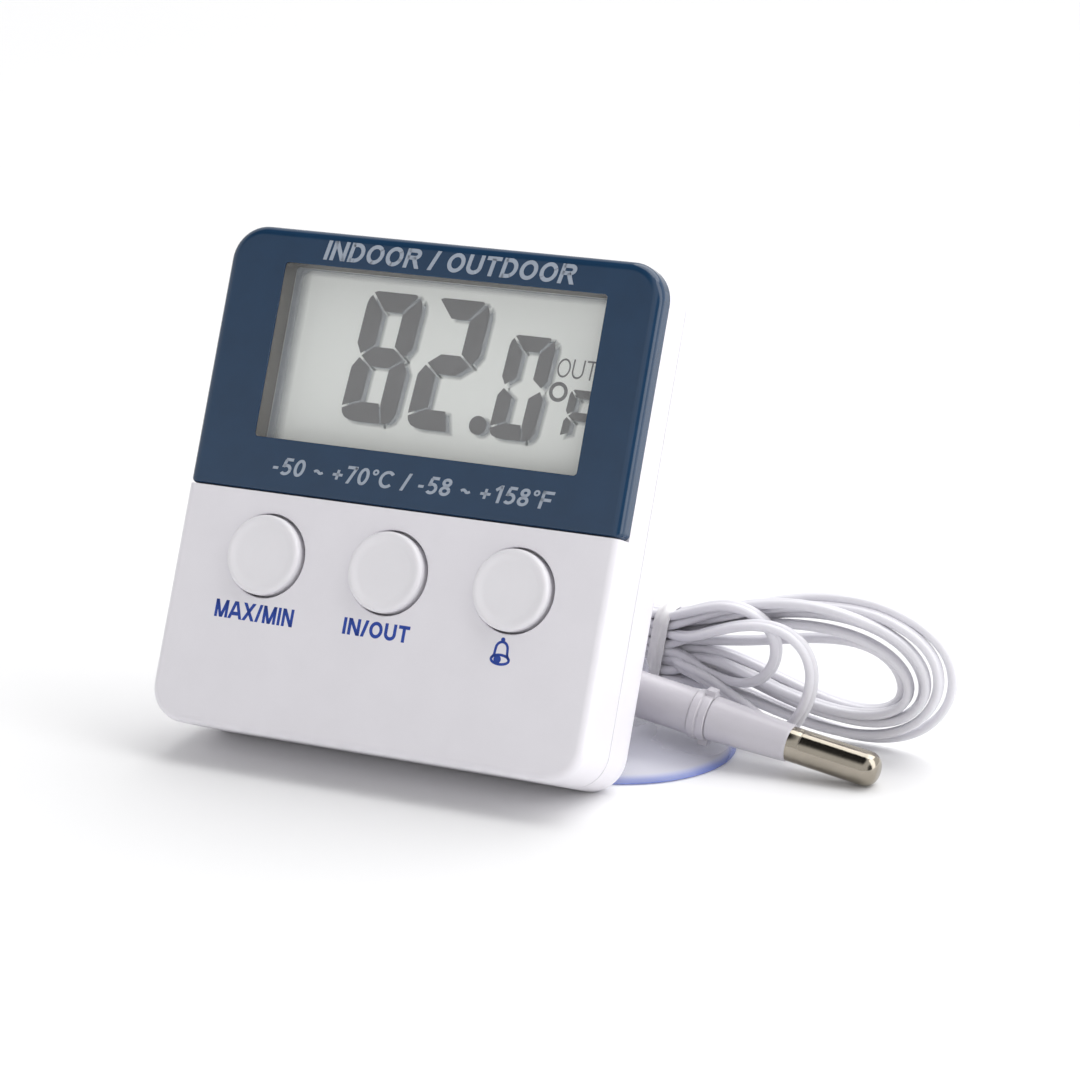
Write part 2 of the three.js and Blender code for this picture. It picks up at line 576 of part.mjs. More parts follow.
place(casing, 'back_cover', 'shell', backCover());
const cell = post(0, 0, CELL.radius, -CELL.thick, 0, 32);
place(casing, 'battery_cell', 'steel', cell, CELL.x, CELL.rear, CELL.z);
place(casing, 'battery_contact', 'brass', box(-2.6, 2.6, 0, 0.2, -1.6, 1.6), CELL.x, onBoard, CELL.z);
place(casing, 'battery_cap', 'shell', batteryCap());
place(casing, 'unit_switch_body', 'steel', box(-2.2, 2.2, 0, 3.8, -3.8, 3.8), SWITCH.x, onBoard, SWITCH.z);
place(casing, 'unit_switch_knob', 'epoxy', switchKnob(), SWITCH.x, 0, SWITCH.z);
SCREWS.forEach(([x, z], i) => {
  place(casing, `case_screw_${i + 1}`, 'steel', screw(2, 1.3, 0.6, 8.4), x, CASE_DEPTH - 3.1, z);
});
[-BOARD_SCREWS.x, BOARD_SCREWS.x].forEach((x, i) => {
  place(casing, `board_screw_${i + 1}`, 'steel', screw(1.9, 1, 0.9, 1.8), x, onBoard, BOARD_SCREWS.z);
});
place(casing, 'lead_strain_relief', 'lead', strainRelief(), LEAD_EXIT.x, CASE_DEPTH, LEAD_EXIT.z);

const hinge = onCase(0, HINGE.depth, HINGE.height);
place(object, 'stand_leg', 'shell', standLeg(hinge.z), hinge.x, hinge.y, hinge.z);

place(object, 'suction_cup', 'cup', suctionCup(), CUP.x, CUP.y, 0);
const probe = new THREE.Group();
probe.position.set(CUP.x, CUP.y, PROBE_AT_CUP);
probe.rotation.set(0, PROBE_FALL, -Math.PI / 2, 'YXZ');
object.add(probe);
place(probe, 'probe_boot', 'lead', probeBoot());
place(probe, 'probe_rear', 'lead', probeRear());
place(probe, 'probe_collar', 'lead', probeCollar());
place(probe, 'probe_front', 'lead', probeFront());
place(probe, 'probe_tip', 'nickel', probeTip());

place(object, 'lead_case_run', 'lead', leadTube(CASE_RUN, 8));
place(object, 'lead_probe_run', 'lead', leadTube(PROBE_RUN, 8));
place(object, 'lead_hank', 'lead', leadHank());
const tie = place(object, 'hank_tie', 'tie', hankTie(), TIE.x, TIE.y, TIE.z);
tie.rotation.y = TIE_TILT;

export default object;
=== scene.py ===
"""The looks of a maximum minimum thermometer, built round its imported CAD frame.

Shapes are drawn in millimetres, in the case's own frame (x across, y from the face to the back, z up the
case) or in the row's frame, and are placed in the row's frame in metres.
"""

import json
import math
import random

import bmesh
import bpy
from mathutils import Matrix, Vector
from mathutils.kdtree import KDTree


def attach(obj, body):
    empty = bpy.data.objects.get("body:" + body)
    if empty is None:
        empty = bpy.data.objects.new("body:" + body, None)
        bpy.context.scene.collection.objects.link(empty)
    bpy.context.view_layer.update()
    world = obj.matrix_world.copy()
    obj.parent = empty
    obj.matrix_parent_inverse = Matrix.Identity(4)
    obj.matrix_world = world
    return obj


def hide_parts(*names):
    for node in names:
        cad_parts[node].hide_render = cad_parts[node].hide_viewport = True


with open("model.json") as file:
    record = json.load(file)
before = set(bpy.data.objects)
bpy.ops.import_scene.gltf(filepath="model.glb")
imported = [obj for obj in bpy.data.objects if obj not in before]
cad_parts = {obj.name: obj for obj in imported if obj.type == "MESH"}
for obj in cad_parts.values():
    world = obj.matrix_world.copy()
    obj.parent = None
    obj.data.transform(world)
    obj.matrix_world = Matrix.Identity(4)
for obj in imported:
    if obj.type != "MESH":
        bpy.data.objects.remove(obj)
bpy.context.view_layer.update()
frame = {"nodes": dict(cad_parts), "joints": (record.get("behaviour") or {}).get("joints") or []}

MM = 0.001
ROW = Matrix.Scale(MM, 4)  # from millimetres in the row's frame to metres

# ---- the case's own frame, from the battery cap's joint ---------------------------------------
CELL = Vector((15, 17, 50))  # where the cap's axis meets the back, in the case's frame
cap_joint = next(j for j in frame["joints"] if j["name"] == "battery_cap_turn")
ACROSS = Vector((1, 0, 0))
INTO = Vector(cap_joint["axis"]).normalized()
UPWARD = ACROSS.cross(INTO)
LEANING = Matrix((ACROSS, INTO, UPWARD)).transposed()
CASE = Matrix.Translation(Vector(cap_joint["pos_m"]) - LEANING @ CELL * MM) @ LEANING.to_4x4() @ ROW

# ---- sizes, in millimetres ---------------------------------------------------------------------
WIDTH = 65
HEIGHT = 69
DEPTH = 17
PARTING = 8.7
CORNER = 5
FRONT_EDGE = 1.2
BACK_EDGE = 3
WALL = 1.7
HALF = WIDTH / 2
BEZEL_BOTTOM = 32.6
BEZEL_SKIRT = 3
BEZEL_PLATE = 1.2
WINDOW = (0.1, 52.25, 48.5, 24.2)  # middle x, middle z, width, height
GLASS_FACE = 3.6
BUTTON_PITCH = 18.64
BUTTON_HEIGHT = 24
BUTTON_GAP = 5.76  # radius of a button's hole
BUTTON_SHIFT = 0.26  # the holes lie a little to the right of the caps
HINGE = (15.2, 30)  # depth and height of the leg's pin
LEG_WIDTH = 13
LEG_THICK = 1.8
LEG_SLOPE = math.radians(14)
SCREWS = [(-27.8, 6.8), (27.8, 6.8), (-27.8, 34), (27.8, 34)]
KEYHOLE = {"z": 58, "head": 3.4, "neck": 1.7, "rise": 4.5, "deep": 3.4}
BUZZER = (-15, 50)
SWITCH = (19, 20)
VENT = (-19, 22)
LEAD_EXIT = (-16, 8)
CUP = Vector((24, 11, 0))
CUP_RADIUS = 15.8
PROBE_FALL = math.radians(9.5)
PROBE_AT_CUP = 8.45
LEAD_WIDTH = 2
LEAD_THICK = 1.25
TIE = Vector((25, 22.8, 11.6))
TIE_TILT = math.radians(10)


# ---- materials ---------------------------------------------------------------------------------
def fill(tree, made, sockets):
    """Sets a node's inputs to values or links them to the outputs of other nodes."""
    for socket, value in sockets.items():
        if isinstance(value, bpy.types.NodeSocket):
            tree.links.new(value, made.inputs[socket])
        else:
            made.inputs[socket].default_value = value


def node(tree, kind, sockets, **settings):
    made = tree.nodes.new(kind)
    for key, value in settings.items():
        setattr(made, key, value)
    fill(tree, made, sockets)
    return made


def ramp(tree, value, low, high, start=0.0, end=1.0, kind="LINEAR"):
    """Maps a value that runs from start to end to one that runs from low to high."""
    sockets = {"Value": value, "From Min": start, "From Max": end, "To Min": low, "To Max": high}
    return node(tree, "ShaderNodeMapRange", sockets, interpolation_type=kind).outputs["Result"]


def noise(tree, place, scale, detail):
    sockets = {"Vector": place, "Scale": scale, "Detail": detail}
    return node(tree, "ShaderNodeTexNoise", sockets).outputs["Fac"]


def material(name, color, roughness, metallic=0.0, alpha=1.0, mottle=0.03, mottle_scale=180,
             rough_spread=0.05, grain=0.02, grain_scale=2600):
    """A Principled material with a faint colour mottle, uneven gloss and a moulded grain."""
    made = bpy.data.materials.new(name)
    made.use_nodes = True
    tree = made.node_tree
    place = tree.nodes.new("ShaderNodeTexCoord").outputs["Object"]
    tint = ramp(tree, noise(tree, place, mottle_scale, 3), 1 - mottle, 1 + mottle, 0.3, 0.7)
    shade = node(tree, "ShaderNodeVectorMath", {0: color, "Scale": tint}, operation="SCALE")
    sockets = {
        "Metallic": metallic, "IOR": 1.5, "Alpha": alpha, "Base Color": shade.outputs["Vector"],
        "Roughness": ramp(tree, noise(tree, place, mottle_scale * 3, 4), max(roughness - rough_spread, 0.02),
                          roughness + rough_spread),
    }
    if grain:
        bumps = {"Strength": grain, "Distance": 0.0002, "Height": noise(tree, place, grain_scale, 5)}
        sockets["Normal"] = node(tree, "ShaderNodeBump", bumps).outputs["Normal"]
    fill(tree, tree.nodes["Principled BSDF"], sockets)
    return made


WHITE = material("white_shell", (0.845, 0.825, 0.87), 0.36, mottle=0.012, grain=0.05, grain_scale=2200)
# painted shade: the probe's white plastic is made grey, darker than the case's, so that its colour carries
# the shade on its flanks under the overhead light
PROBE_WHITE_PAINTED_SHADE = material("probe_white_painted_shade", (0.55, 0.53, 0.57), 0.3, mottle=0.02, grain=0.05)
NAVY = material("navy_lens", (0.0125, 0.043, 0.097), 0.09, mottle=0.06, rough_spread=0.02, grain=0)
DARK = material("recess_brown", (0.13, 0.12, 0.11), 0.55, mottle=0.05)
LCD_GROUND = material("lcd_ground", (0.91, 0.93, 0.90), 0.38, mottle=0.018, mottle_scale=60, grain=0.06,
                      grain_scale=5200)
LCD_INK = material("lcd_segment", (0.17, 0.165, 0.17), 0.42, mottle=0.02, grain=0)
PRINT_PALE = material("print_pale", (0.36, 0.41, 0.49), 0.4, mottle=0.04, grain=0)
PRINT_BLUE = material("print_blue", (0.012, 0.055, 0.36), 0.45, mottle=0.06, grain=0)
BUTTON_WHITE = material("button_white", (0.86, 0.845, 0.88), 0.4, mottle=0.012, grain=0.04)
LEAD_PVC = material("lead_pvc", (0.76, 0.75, 0.795), 0.34, mottle=0.03, mottle_scale=90, grain=0.04)
TIE_PVC = material("tie_pvc", (0.80, 0.79, 0.80), 0.34, mottle=0.04, grain=0.05)
# partly the nickel's own warm colour and partly painted dark reflection: the base is darkened below real
# nickel so that the tip looks as dark as where it reflects the dim studio
NICKEL_PAINTED_DARK = material("nickel", (0.37, 0.335, 0.28), 0.14, metallic=1, mottle=0.05, mottle_scale=500,
                  grain=0.03, grain_scale=3000)
STEEL = material("zinc_steel", (0.52, 0.52, 0.54), 0.3, metallic=1, mottle=0.06, grain=0.05)
BRASS = material("brass", (0.60, 0.42, 0.16), 0.3, metallic=1, mottle=0.05)
BOARD_GREEN = material("board_green", (0.03, 0.14, 0.06), 0.4, mottle=0.12)
BLACK_RESIN = material("black_resin", (0.02, 0.02, 0.022), 0.35, mottle=0.1)
SILICONE = material("silicone", (0.16, 0.16, 0.17), 0.7, mottle=0.05)
GLASS = material("display_glass", (0.62, 0.66, 0.64), 0.08, mottle=0.01, grain=0)
PANE = material("clear_pane", (0.8, 0.85, 0.85), 0.04, alpha=0.05, mottle=0.01, grain=0)


def cup_material():
    """Clear soft plastic: nearly see-through in the middle, and blue where the lip is seen edge on."""
    made = material("cup_clear", (0.66, 0.70, 0.80), 0.16, alpha=0.42)
    tree = made.node_tree
    place = tree.nodes.new("ShaderNodeTexCoord").outputs["Object"]
    centred = node(tree, "ShaderNodeVectorMath", {0: place, 1: CUP * MM}, operation="SUBTRACT")
    flattening = {0: centred.outputs["Vector"], 1: (1, 1, 0)}
    flat = node(tree, "ShaderNodeVectorMath", flattening, operation="MULTIPLY")
    radius = node(tree, "ShaderNodeVectorMath", {0: flat.outputs["Vector"]}, operation="LENGTH")
    rim = ramp(tree, radius.outputs["Value"], 0, 1, (CUP_RADIUS - 1.3) * MM, CUP_RADIUS * MM, "SMOOTHSTEP")
    colours = {"Factor": rim, "A": (0.72, 0.72, 0.82, 1), "B": (0.12, 0.19, 0.60, 1)}
    mix = node(tree, "ShaderNodeMix", colours, data_type="RGBA")
    sockets = {"Base Color": mix.outputs["Result"], "Alpha": ramp(tree, rim, 0.34, 0.58)}
    fill(tree, tree.nodes["Principled BSDF"], sockets)
    return made


def shade_material():
    """The soft shadows on the display: their strength is kept on the points."""
    made = material("lcd_shadow", (0.30, 0.32, 0.36), 0.45, mottle=0.01, grain=0)
    tree = made.node_tree
    strength = node(tree, "ShaderNodeAttribute", {}, attribute_name="strength")
    fill(tree, tree.nodes["Principled BSDF"], {"Alpha": strength.outputs["Fac"]})
    return made


CUP_CLEAR = cup_material()
LCD_SHADE = shade_material()


# ---- shapes ------------------------------------------------------------------------------------
def mesh_object(name, points, faces):
    mesh = bpy.data.meshes.new(name)
    mesh.from_pydata([tuple(p) for p in points], [], faces)
    made = bpy.data.objects.new(name, mesh)
    bpy.context.scene.collection.objects.link(made)
    return made


def tidy(made, merge=1e-4):
    """Merges points that meet and turns the faces outwards."""
    work = bmesh.new()
    work.from_mesh(made.data)
    bmesh.ops.remove_doubles(work, verts=work.verts, dist=merge)
    bmesh.ops.recalc_face_normals(work, faces=work.faces)
    work.to_mesh(made.data)
    work.free()
    return made


def loft(outline, stations):
    """A closed solid: outline(inset) at each (inset, depth), joined in order and closed at both ends."""
    rings = [[(x, depth, z) for x, z in outline(inset)] for inset, depth in stations]
    count = len(rings[0])
    points = [p for ring in rings for p in ring]
    faces = [tuple(range(count)), tuple(range(len(points) - 1, len(points) - count - 1, -1))]
    for k in range(len(rings) - 1):
        for i in range(count):
            j = (i + 1) % count
            faces.append((k * count + i, k * count + j, (k + 1) * count + j, (k + 1) * count + i))
    return tidy(mesh_object("part", points, faces))


def turned(profile, sides=72):
    """A solid of revolution about Y from a list of (radius, y) that starts and ends on the axis."""
    points, rings = [], []
    for radius, y in profile:
        if radius < 1e-6:
            rings.append([len(points)] * sides)
            points.append((0, y, 0))
            continue
        rings.append(list(range(len(points), len(points) + sides)))
        for i in range(sides):
            turn = 2 * math.pi * i / sides
            points.append((radius * math.cos(turn), y, radius * math.sin(turn)))
    faces = []
    for one, two in zip(rings, rings[1:]):
        for i in range(sides):
            j = (i + 1) % sides
            face = list(dict.fromkeys([one[i], one[j], two[j], two[i]]))
            if len(face) > 2:
                faces.append(tuple(face))
    return tidy(mesh_object("part", points, faces))


def arc(centre, radius, start, end, steps):
    """Points of an arc, with its angles in degrees."""
    turns = [math.radians(start + (end - start) * i / steps) for i in range(steps + 1)]
    return [(centre[0] + radius * math.cos(t), centre[1] + radius * math.sin(t)) for t in turns]


def rounded(x0, x1, z0, z1, radius, low_radius=None, low_share=1.0, steps=10):
    """An outline function for a rounded rectangle; its lower edge is drawn in by low_share of the inset."""
    low_radius = radius if low_radius is None else low_radius

    def outline(inset):
        left, right, top = x0 + inset, x1 - inset, z1 - inset
        low = z0 + inset * low_share
        high_r = max(radius - inset, 0.02)
        low_r = max(low_radius - inset, 0.02)
        return (arc((left + low_r, low + low_r), low_r, 180, 270, steps)
                + arc((right - low_r, low + low_r), low_r, 270, 360, steps)
                + arc((right - high_r, top - high_r), high_r, 0, 90, steps)
                + arc((left + high_r, top - high_r), high_r, 90, 180, steps))

    return outline


def disc(x, z, radius, steps=48):
    """An outline function for a circle."""
    return lambda inset: arc((x, z), radius - inset, 0, 360 - 360 / steps, steps - 1)


def rounding(face, into, radius, steps=7):
    """Stations from a side to a face at that depth, round an edge; into is 1 where the solid lies deeper."""
    turns = [math.pi / 2 * i / steps for i in range(steps + 1)]
    return [(radius * (1 - math.cos(t)), face + into * radius * (1 - math.sin(t))) for t in turns]


def mouth(face, out, radius):
    """Stations of a cutter that flares as it leaves a face, so that the hole's edge is rounded."""
    turns = [math.pi / 2 * i / 4 for i in range(5)]
    flare = [(-radius * (1 - math.cos(t)), face - out * radius * (1 - math.sin(t))) for t in turns]
    return flare + [(-radius, face + out)]


def hole(outline, floor, face, out, edge=0.2):
    """A cutter from a floor to a face; out is the sign of the way out of the solid along Y."""
    return loft(outline, [(0, floor)] + mouth(face, out, edge))


def box(x0, x1, y0, y1, z0, z1):
    return loft(rounded(x0, x1, z0, z1, 0.02, steps=2), [(0, y0), (0, y1)])


def modified(made, kind, **settings):
    """Applies one modifier to a mesh."""
    modifier = made.modifiers.new(kind.lower(), kind)
    for key, value in settings.items():
        setattr(modifier, key, value)
    graph = bpy.context.evaluated_depsgraph_get()
    mesh = bpy.data.meshes.new_from_object(made.evaluated_get(graph))
    made.modifiers.clear()
    made.data = mesh
    return made


def combined(made, others, operation):
    for other in others:
        modified(made, "BOOLEAN", operation=operation, object=other, solver="EXACT")
        bpy.data.objects.remove(other)
    return made


def cut(made, *cutters):
    return combined(made, cutters, "DIFFERENCE")


def join(made, *others):
    return combined(made, others, "UNION")


def finish_piece(made, name, finish, body, replaces=(), place=CASE, angle=32, weighted=True):
    """Names a piece, places it in the row's frame, shades it, and hangs it on its body."""
    made.name = name
    made.data.name = name
    made.data.transform(place)
    made.data.materials.clear()
    made.data.materials.append(finish)
    for polygon in made.data.polygons:
        polygon.use_smooth = True
        polygon.material_index = 0
    made.data.set_sharp_from_angle(angle=math.radians(angle))
    if weighted:
        made.modifiers.new("weighted", "WEIGHTED_NORMAL").keep_sharp = True
    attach(made, body)
    if replaces:
        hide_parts(*replaces)
    return made


# ---- camera and light --------------------------------------------------------------------------
AZIMUTH = 26.121  # in degrees; 0 looks straight at the face's side
ELEVATION = 15.961
LOOK_AT = Vector((0.02734, -0.02115, 0.03818))
DISTANCE = 0.4579
WORLD_LIGHT = 0.86
# dark places in the studio that the glossy parts reflect: azimuth, elevation, inner and outer angle, and
# how much light is left there
DARK_PATCHES = [(-48, 60, 20, 40, 0.04), (62, 12, 10, 30, 0.1), (-118, 76, 10, 26, 0.04)]


def toward(azimuth, elevation):
    """The direction from the object to something seen at that azimuth and elevation, in degrees."""
    turn, rise = math.radians(azimuth), math.radians(elevation)
    return Vector((math.sin(turn) * math.cos(rise), -math.cos(turn) * math.cos(rise), math.sin(rise)))


def aimed(data, azimuth, elevation, distance=0.0):
    """Puts a camera or lamp at that azimuth and elevation, facing the object."""
    made = bpy.data.objects.new(data.name, data)
    away = toward(azimuth, elevation)
    made.location = LOOK_AT + away * distance
    made.rotation_mode = "QUATERNION"
    made.rotation_quaternion = (-away).to_track_quat("-Z", "Y")
    bpy.context.scene.collection.objects.link(made)
    return made


def camera():
    data = bpy.data.cameras.new("camera")
    data.lens = 120.7
    data.sensor_width = 36
    data.clip_start = 0.02
    bpy.context.scene.camera = aimed(data, AZIMUTH, ELEVATION, DISTANCE)


def lamps():
    overhead = bpy.data.lights.new("overhead", "SUN")
    overhead.energy = 1.9
    overhead.angle = math.radians(60)
    aimed(overhead, 165, 62)
    right_box = bpy.data.lights.new("right_box", "AREA")
    right_box.shape = "RECTANGLE"
    right_box.size = 0.35
    right_box.size_y = 0.8
    right_box.energy = 1.7
    aimed(right_box, 95, 28, 0.6)


def studio():
    floor = mesh_object("floor", [(-6, -6, 0), (6, -6, 0), (6, 6, 0), (-6, 6, 0)], [(0, 1, 2, 3)])
    floor.data.materials.append(
        material("floor_white", (0.86, 0.86, 0.865), 0.6, mottle=0.004, mottle_scale=4, grain=0))
    world = bpy.data.worlds.new("studio")
    world.use_nodes = True
    tree = world.node_tree
    place = tree.nodes.new("ShaderNodeTexCoord").outputs["Generated"]
    light = WORLD_LIGHT
    for azimuth, elevation, inner, outer, dim in DARK_PATCHES:
        directions = {0: place, 1: toward(azimuth, elevation)}
        facing = node(tree, "ShaderNodeVectorMath", directions, operation="DOT_PRODUCT").outputs["Value"]
        edge, core = math.cos(math.radians(outer)), math.cos(math.radians(inner))
        left = ramp(tree, facing, 1, dim, edge, core, "SMOOTHSTEP")
        light = node(tree, "ShaderNodeMath", {0: light, 1: left}, operation="MULTIPLY").outputs["Value"]
    fill(tree, tree.nodes["Background"], {"Color": (1, 1, 1, 1), "Strength": light})
    bpy.context.scene.world = world
    bpy.context.scene.view_settings.view_transform = "Standard"
    lamps()


# ---- the lead ----------------------------------------------------------------------------------
CASE_RUN = [
    (-16, 4, 3.6), (-16, 6.2, 2.4), (-15.8, 8.5, 1.4), (-15.2, 11.5, 1.1), (-14, 14.6, 1.15),
    (-12.6, 17.7, 1.3),
]
PROBE_RUN = [
    (12.2, 11, 10.35), (10.6, 11.3, 10.6), (8.8, 12.4, 10.9), (7.6, 14.2, 11.2), (7.2, 16, 11.4),
    (7.3, 17.7, 11.5),
]
IN_SLEEVE = (-16, 2.3, 4.5)  # the lead goes on into its sleeves at both ends
IN_BOOT = (13.4, 11, 10.2)
ROW_PITCH = 1.31  # the strands lie in rows and columns inside the tie
COLUMNS = {"front": -1.06, "back": 1.06}


def in_tie(row, column):
    """Where a strand passes the tie, as (y, z); row 0 is the top one."""
    return TIE.y + COLUMNS[column], TIE.z + (3.5 - row) * ROW_PITCH


def tie_pass(row, column, heading):
    """Two points either side of the tie; heading is 1 to the right and -1 to the left."""
    y, z = in_tie(row, column)
    return [(TIE.x - 1.8 * heading, y, z), (TIE.x + 1.8 * heading, y, z)]


# each turn of the hank: reach from the tie, top and bottom of its lobe, how far the fullest part of its upper
# and lower side lies out, how much the lobe's end is lifted, how far its upper and lower side lie behind the
# hank's plane, and its places in the tie
TURNS = [
    {"reach": 42.8, "top": 21.3, "low": -0.1, "full": (0.05, 1.7), "lift": 5.3, "behind": (1.3, 1.3),
     "up": (0, "back"), "down": (7, "back")},
    {"reach": 41.4, "top": 20.9, "low": 0.9, "full": (0.05, 1.6), "lift": 4.8, "behind": (0.6, -1.0),
     "up": (1, "back"), "down": (7, "front")},
    {"reach": 40.0, "top": 21.8, "low": 4.8, "full": (0.9, 0.7), "lift": -4.2, "behind": (-1.5, 0.2),
     "up": (1, "front"), "down": (6, "front")},
    {"reach": 38.9, "top": 20.0, "low": 4.0, "full": (1.1, 0.9), "lift": -3.2, "behind": (1.2, 0.8),
     "up": (2, "back"), "down": (6, "back")},
    {"reach": 37.7, "top": 18.7, "low": 5.8, "full": (1.4, 0.9), "lift": -4.5, "behind": (-0.5, -0.6),
     "up": (3, "front"), "down": (5, "back")},
    {"reach": 36.0, "top": 17.1, "low": 5.8, "full": (3.0, 3.0), "lift": -2.9, "behind": (0.9, 0.9),
     "up": (3, "back"), "down": (4, "back")},
]


def plane_y(z):
    """The hank stands on edge and leans a little towards the case."""
    return 25.44 - 0.22 * z


def lobe(turn, side, order):
    """Points round one lobe of a turn; side is 1 right of the tie, order 1 from top to bottom."""
    middle = (turn["top"] + turn["low"]) / 2
    half = (turn["top"] - turn["low"]) / 2
    points = []
    for step in range(13):
        angle = math.radians(50 + 260 * step / 12)
        out = (1 - math.cos(angle)) / 2
        full = turn["full"][0 if angle < math.pi else 1]
        peak = (2 * math.sqrt(full + 1) / (full + 2)) * ((full + 1) / (full + 2)) ** (full / 2)
        z = middle + half * math.sin(angle) * math.sin(angle / 2) ** full / peak + turn["lift"] * (out - 0.5)
        x = TIE.x + side * (2 + (turn["reach"] - 2) * out)
        behind = turn["behind"][0] + (turn["behind"][1] - turn["behind"][0]) * step / 12
        points.append((x, plane_y(z) + behind, z))
    return points if order > 0 else points[::-1]


LOOP_A = [
    (29.6, 19.7, 17.4), (33.2, 18.9, 19.3), (36.6, 18.4, 20.5), (39.8, 18.2, 20.5), (42.0, 18.2, 19.5),
    (43.8, 18.2, 18.0), (44.6, 18.3, 16.0), (44.5, 18.5, 13.4), (43.4, 18.8, 10.9), (41.0, 19.4, 8.9),
    (37.8, 20.2, 7.6), (34.0, 21.2, 7.8), (30.2, 22.3, 9.4),
]
LEFT_A = [
    (-10.7, 21.4, 8.0), (-8.6, 20.6, 5.2), (-5, 19.8, 4.2), (-0.5, 19.0, 5.6), (4.5, 18.3, 8.8),
    (11, 18.2, 13.4), (18, 19.3, 16.4),
]
LEFT_B = [
    (14, 22.4, 12.4), (6, 21.4, 14.8), (-1.5, 20.5, 16.2), (-7.4, 20.1, 15.0), (-10.4, 20.0, 10.6),
    (-7.6, 20.0, 6.2), (-1.5, 20.2, 5.0), (4, 20.4, 6.8), (10, 20.7, 9.6), (17, 20.8, 12.2),
]
LOOP_B = [
    (29.6, 19.0, 13.6), (33.2, 17.6, 15.6), (37.0, 16.5, 17.4), (40.4, 16.0, 18.6), (43.6, 15.8, 19.2),
    (46.2, 15.8, 18.9), (48.7, 15.9, 17.6), (50.1, 16.1, 15.4), (50.6, 16.3, 12.8), (50.2, 16.4, 10.0),
    (49.0, 16.4, 7.3), (47.4, 16.4, 4.8), (46.0, 17.0, 2.8), (44.4, 18.7, 1.9), (42.6, 20.2, 2.3),
    (40.6, 20.7, 3.6), (38.4, 20.6, 5.1), (35.4, 20.6, 6.9), (32.9, 20.5, 8.7), (29.9, 20.3, 10.4),
]
LEFT_C = [(18.5, 19.3, 10.7), (14.5, 18.9, 11.0), (10.5, 18.9, 11.4)]


def blend(one, two, start, end, t):
    """The point between two that is due at t, where they are due at start and at end."""
    return one * ((end - t) / (end - start)) + two * ((t - start) / (end - start))


def smooth_path(points, step):
    """Even points along a centripetal Catmull-Rom curve through the given ones."""
    given = [Vector(p) for p in points]
    given = [given[0] * 2 - given[1]] + given + [given[-1] * 2 - given[-2]]
    dense = []
    for p0, p1, p2, p3 in zip(given, given[1:], given[2:], given[3:]):
        knots = [0.0]
        for one, two in ((p0, p1), (p1, p2), (p2, p3)):
            knots.append(knots[-1] + max((two - one).length, 1e-6) ** 0.5)
        t0, t1, t2, t3 = knots
        count = max(int((p2 - p1).length / step * 4), 4)
        for i in range(count):
            t = t1 + (t2 - t1) * i / count
            middle = blend(p1, p2, t1, t2, t)
            before = blend(blend(p0, p1, t0, t1, t), middle, t0, t2, t)
            after = blend(middle, blend(p2, p3, t2, t3, t), t1, t3, t)
            dense.append(blend(before, after, t1, t2, t))
    dense.append(given[-2])
    return even(dense, step)


def even(points, step):
    """The same line with its points a step apart."""
    lengths = [0.0]
    for one, two in zip(points, points[1:]):
        lengths.append(lengths[-1] + (two - one).length)
    count = max(int(lengths[-1] / step), 2)
    made, k = [], 0
    for i in range(count + 1):
        target = lengths[-1] * i / count
        while k < len(points) - 2 and lengths[k + 1] < target:
            k += 1
        share = (target - lengths[k]) / max(lengths[k + 1] - lengths[k], 1e-9)
        made.append(points[k].lerp(points[k + 1], min(max(share, 0), 1)))
    return made


def lead_route():
    """The lead from the case through all its turns and loops to the probe, with each point's twist."""
    route = [(p, 0) for p in [IN_SLEEVE] + CASE_RUN]
    route += [((-6, 20.5, 1.2), 0), ((2, 22.8, 1.9), 0), ((12, 24.6, 4.6), 0)]
    for turn in TURNS:
        route += [(p, 0) for p in tie_pass(*turn["down"], 1)]
        route += [(p, 0) for p in lobe(turn, 1, -1)]
        route += [(p, 0) for p in tie_pass(*turn["up"], -1)]
        left = lobe({**turn, "full": (0.5, 0.9), "lift": 0, "low": max(turn["low"], 1.2)}, -1, 1)
        route += [(p, 0) for p in (left[:7] if turn is TURNS[-1] else left)]
    route += [(p, 0) for p in LEFT_A + tie_pass(0, "front", 1)]
    route += [(p, 20) for p in LOOP_A]
    route += [(p, 0) for p in tie_pass(4, "front", -1) + LEFT_B + tie_pass(2, "front", 1)]
    bend = len(LOOP_B) - 7
    route += [(p, 12 + 2 * i if i < bend else 80) for i, p in enumerate(LOOP_B)]
    route += [(p, 50) for p in tie_pass(5, "front", -1)]
    route += [(p, 0) for p in LEFT_C + PROBE_RUN[::-1] + [IN_BOOT]]
    return route


LEAD_STEP = 1.0  # between the finished line's points
SETTLE_ROUNDS = 40
ENDS_HELD = 16  # points at each end that don't settle
TIE_HELD = 2.4  # half the length that the tie holds still
LEAD_LOWEST = 0.8  # height of the lead's middle where it lies on the table


def settle(points, pinned):
    """Moves crowded stretches of the lead apart, as turns in a real hank lie beside each other."""
    flatten = LEAD_THICK / LEAD_WIDTH
    apart = LEAD_THICK + 0.05
    points = [p.copy() for p in points]
    count = len(points)
    for _ in range(SETTLE_ROUNDS):
        tree = KDTree(count)
        for i, p in enumerate(points):
            tree.insert((p.x, p.y * flatten, p.z), i)
        tree.balance()
        moves = [Vector() for _ in points]
        for i, p in enumerate(points):
            for place, j, distance in tree.find_range((p.x, p.y * flatten, p.z), apart):
                if abs(i - j) < 8 or distance < 1e-6:
                    continue
                away = Vector((p.x - place[0], (p.y * flatten - place[1]), p.z - place[2])) / distance
                moves[i] += Vector((away.x, away.y / flatten, away.z)) * (apart - distance) * 0.22
        for i in range(1, count - 1):
            if pinned[i]:
                continue
            move = moves[i]
            if move.length > 0.3:
                move *= 0.3 / move.length
            fair = (points[i - 1] + points[i + 1]) / 2 - points[i]
            points[i] = points[i] + move + fair * 0.3
            points[i].z = max(points[i].z, LEAD_LOWEST)
    return points


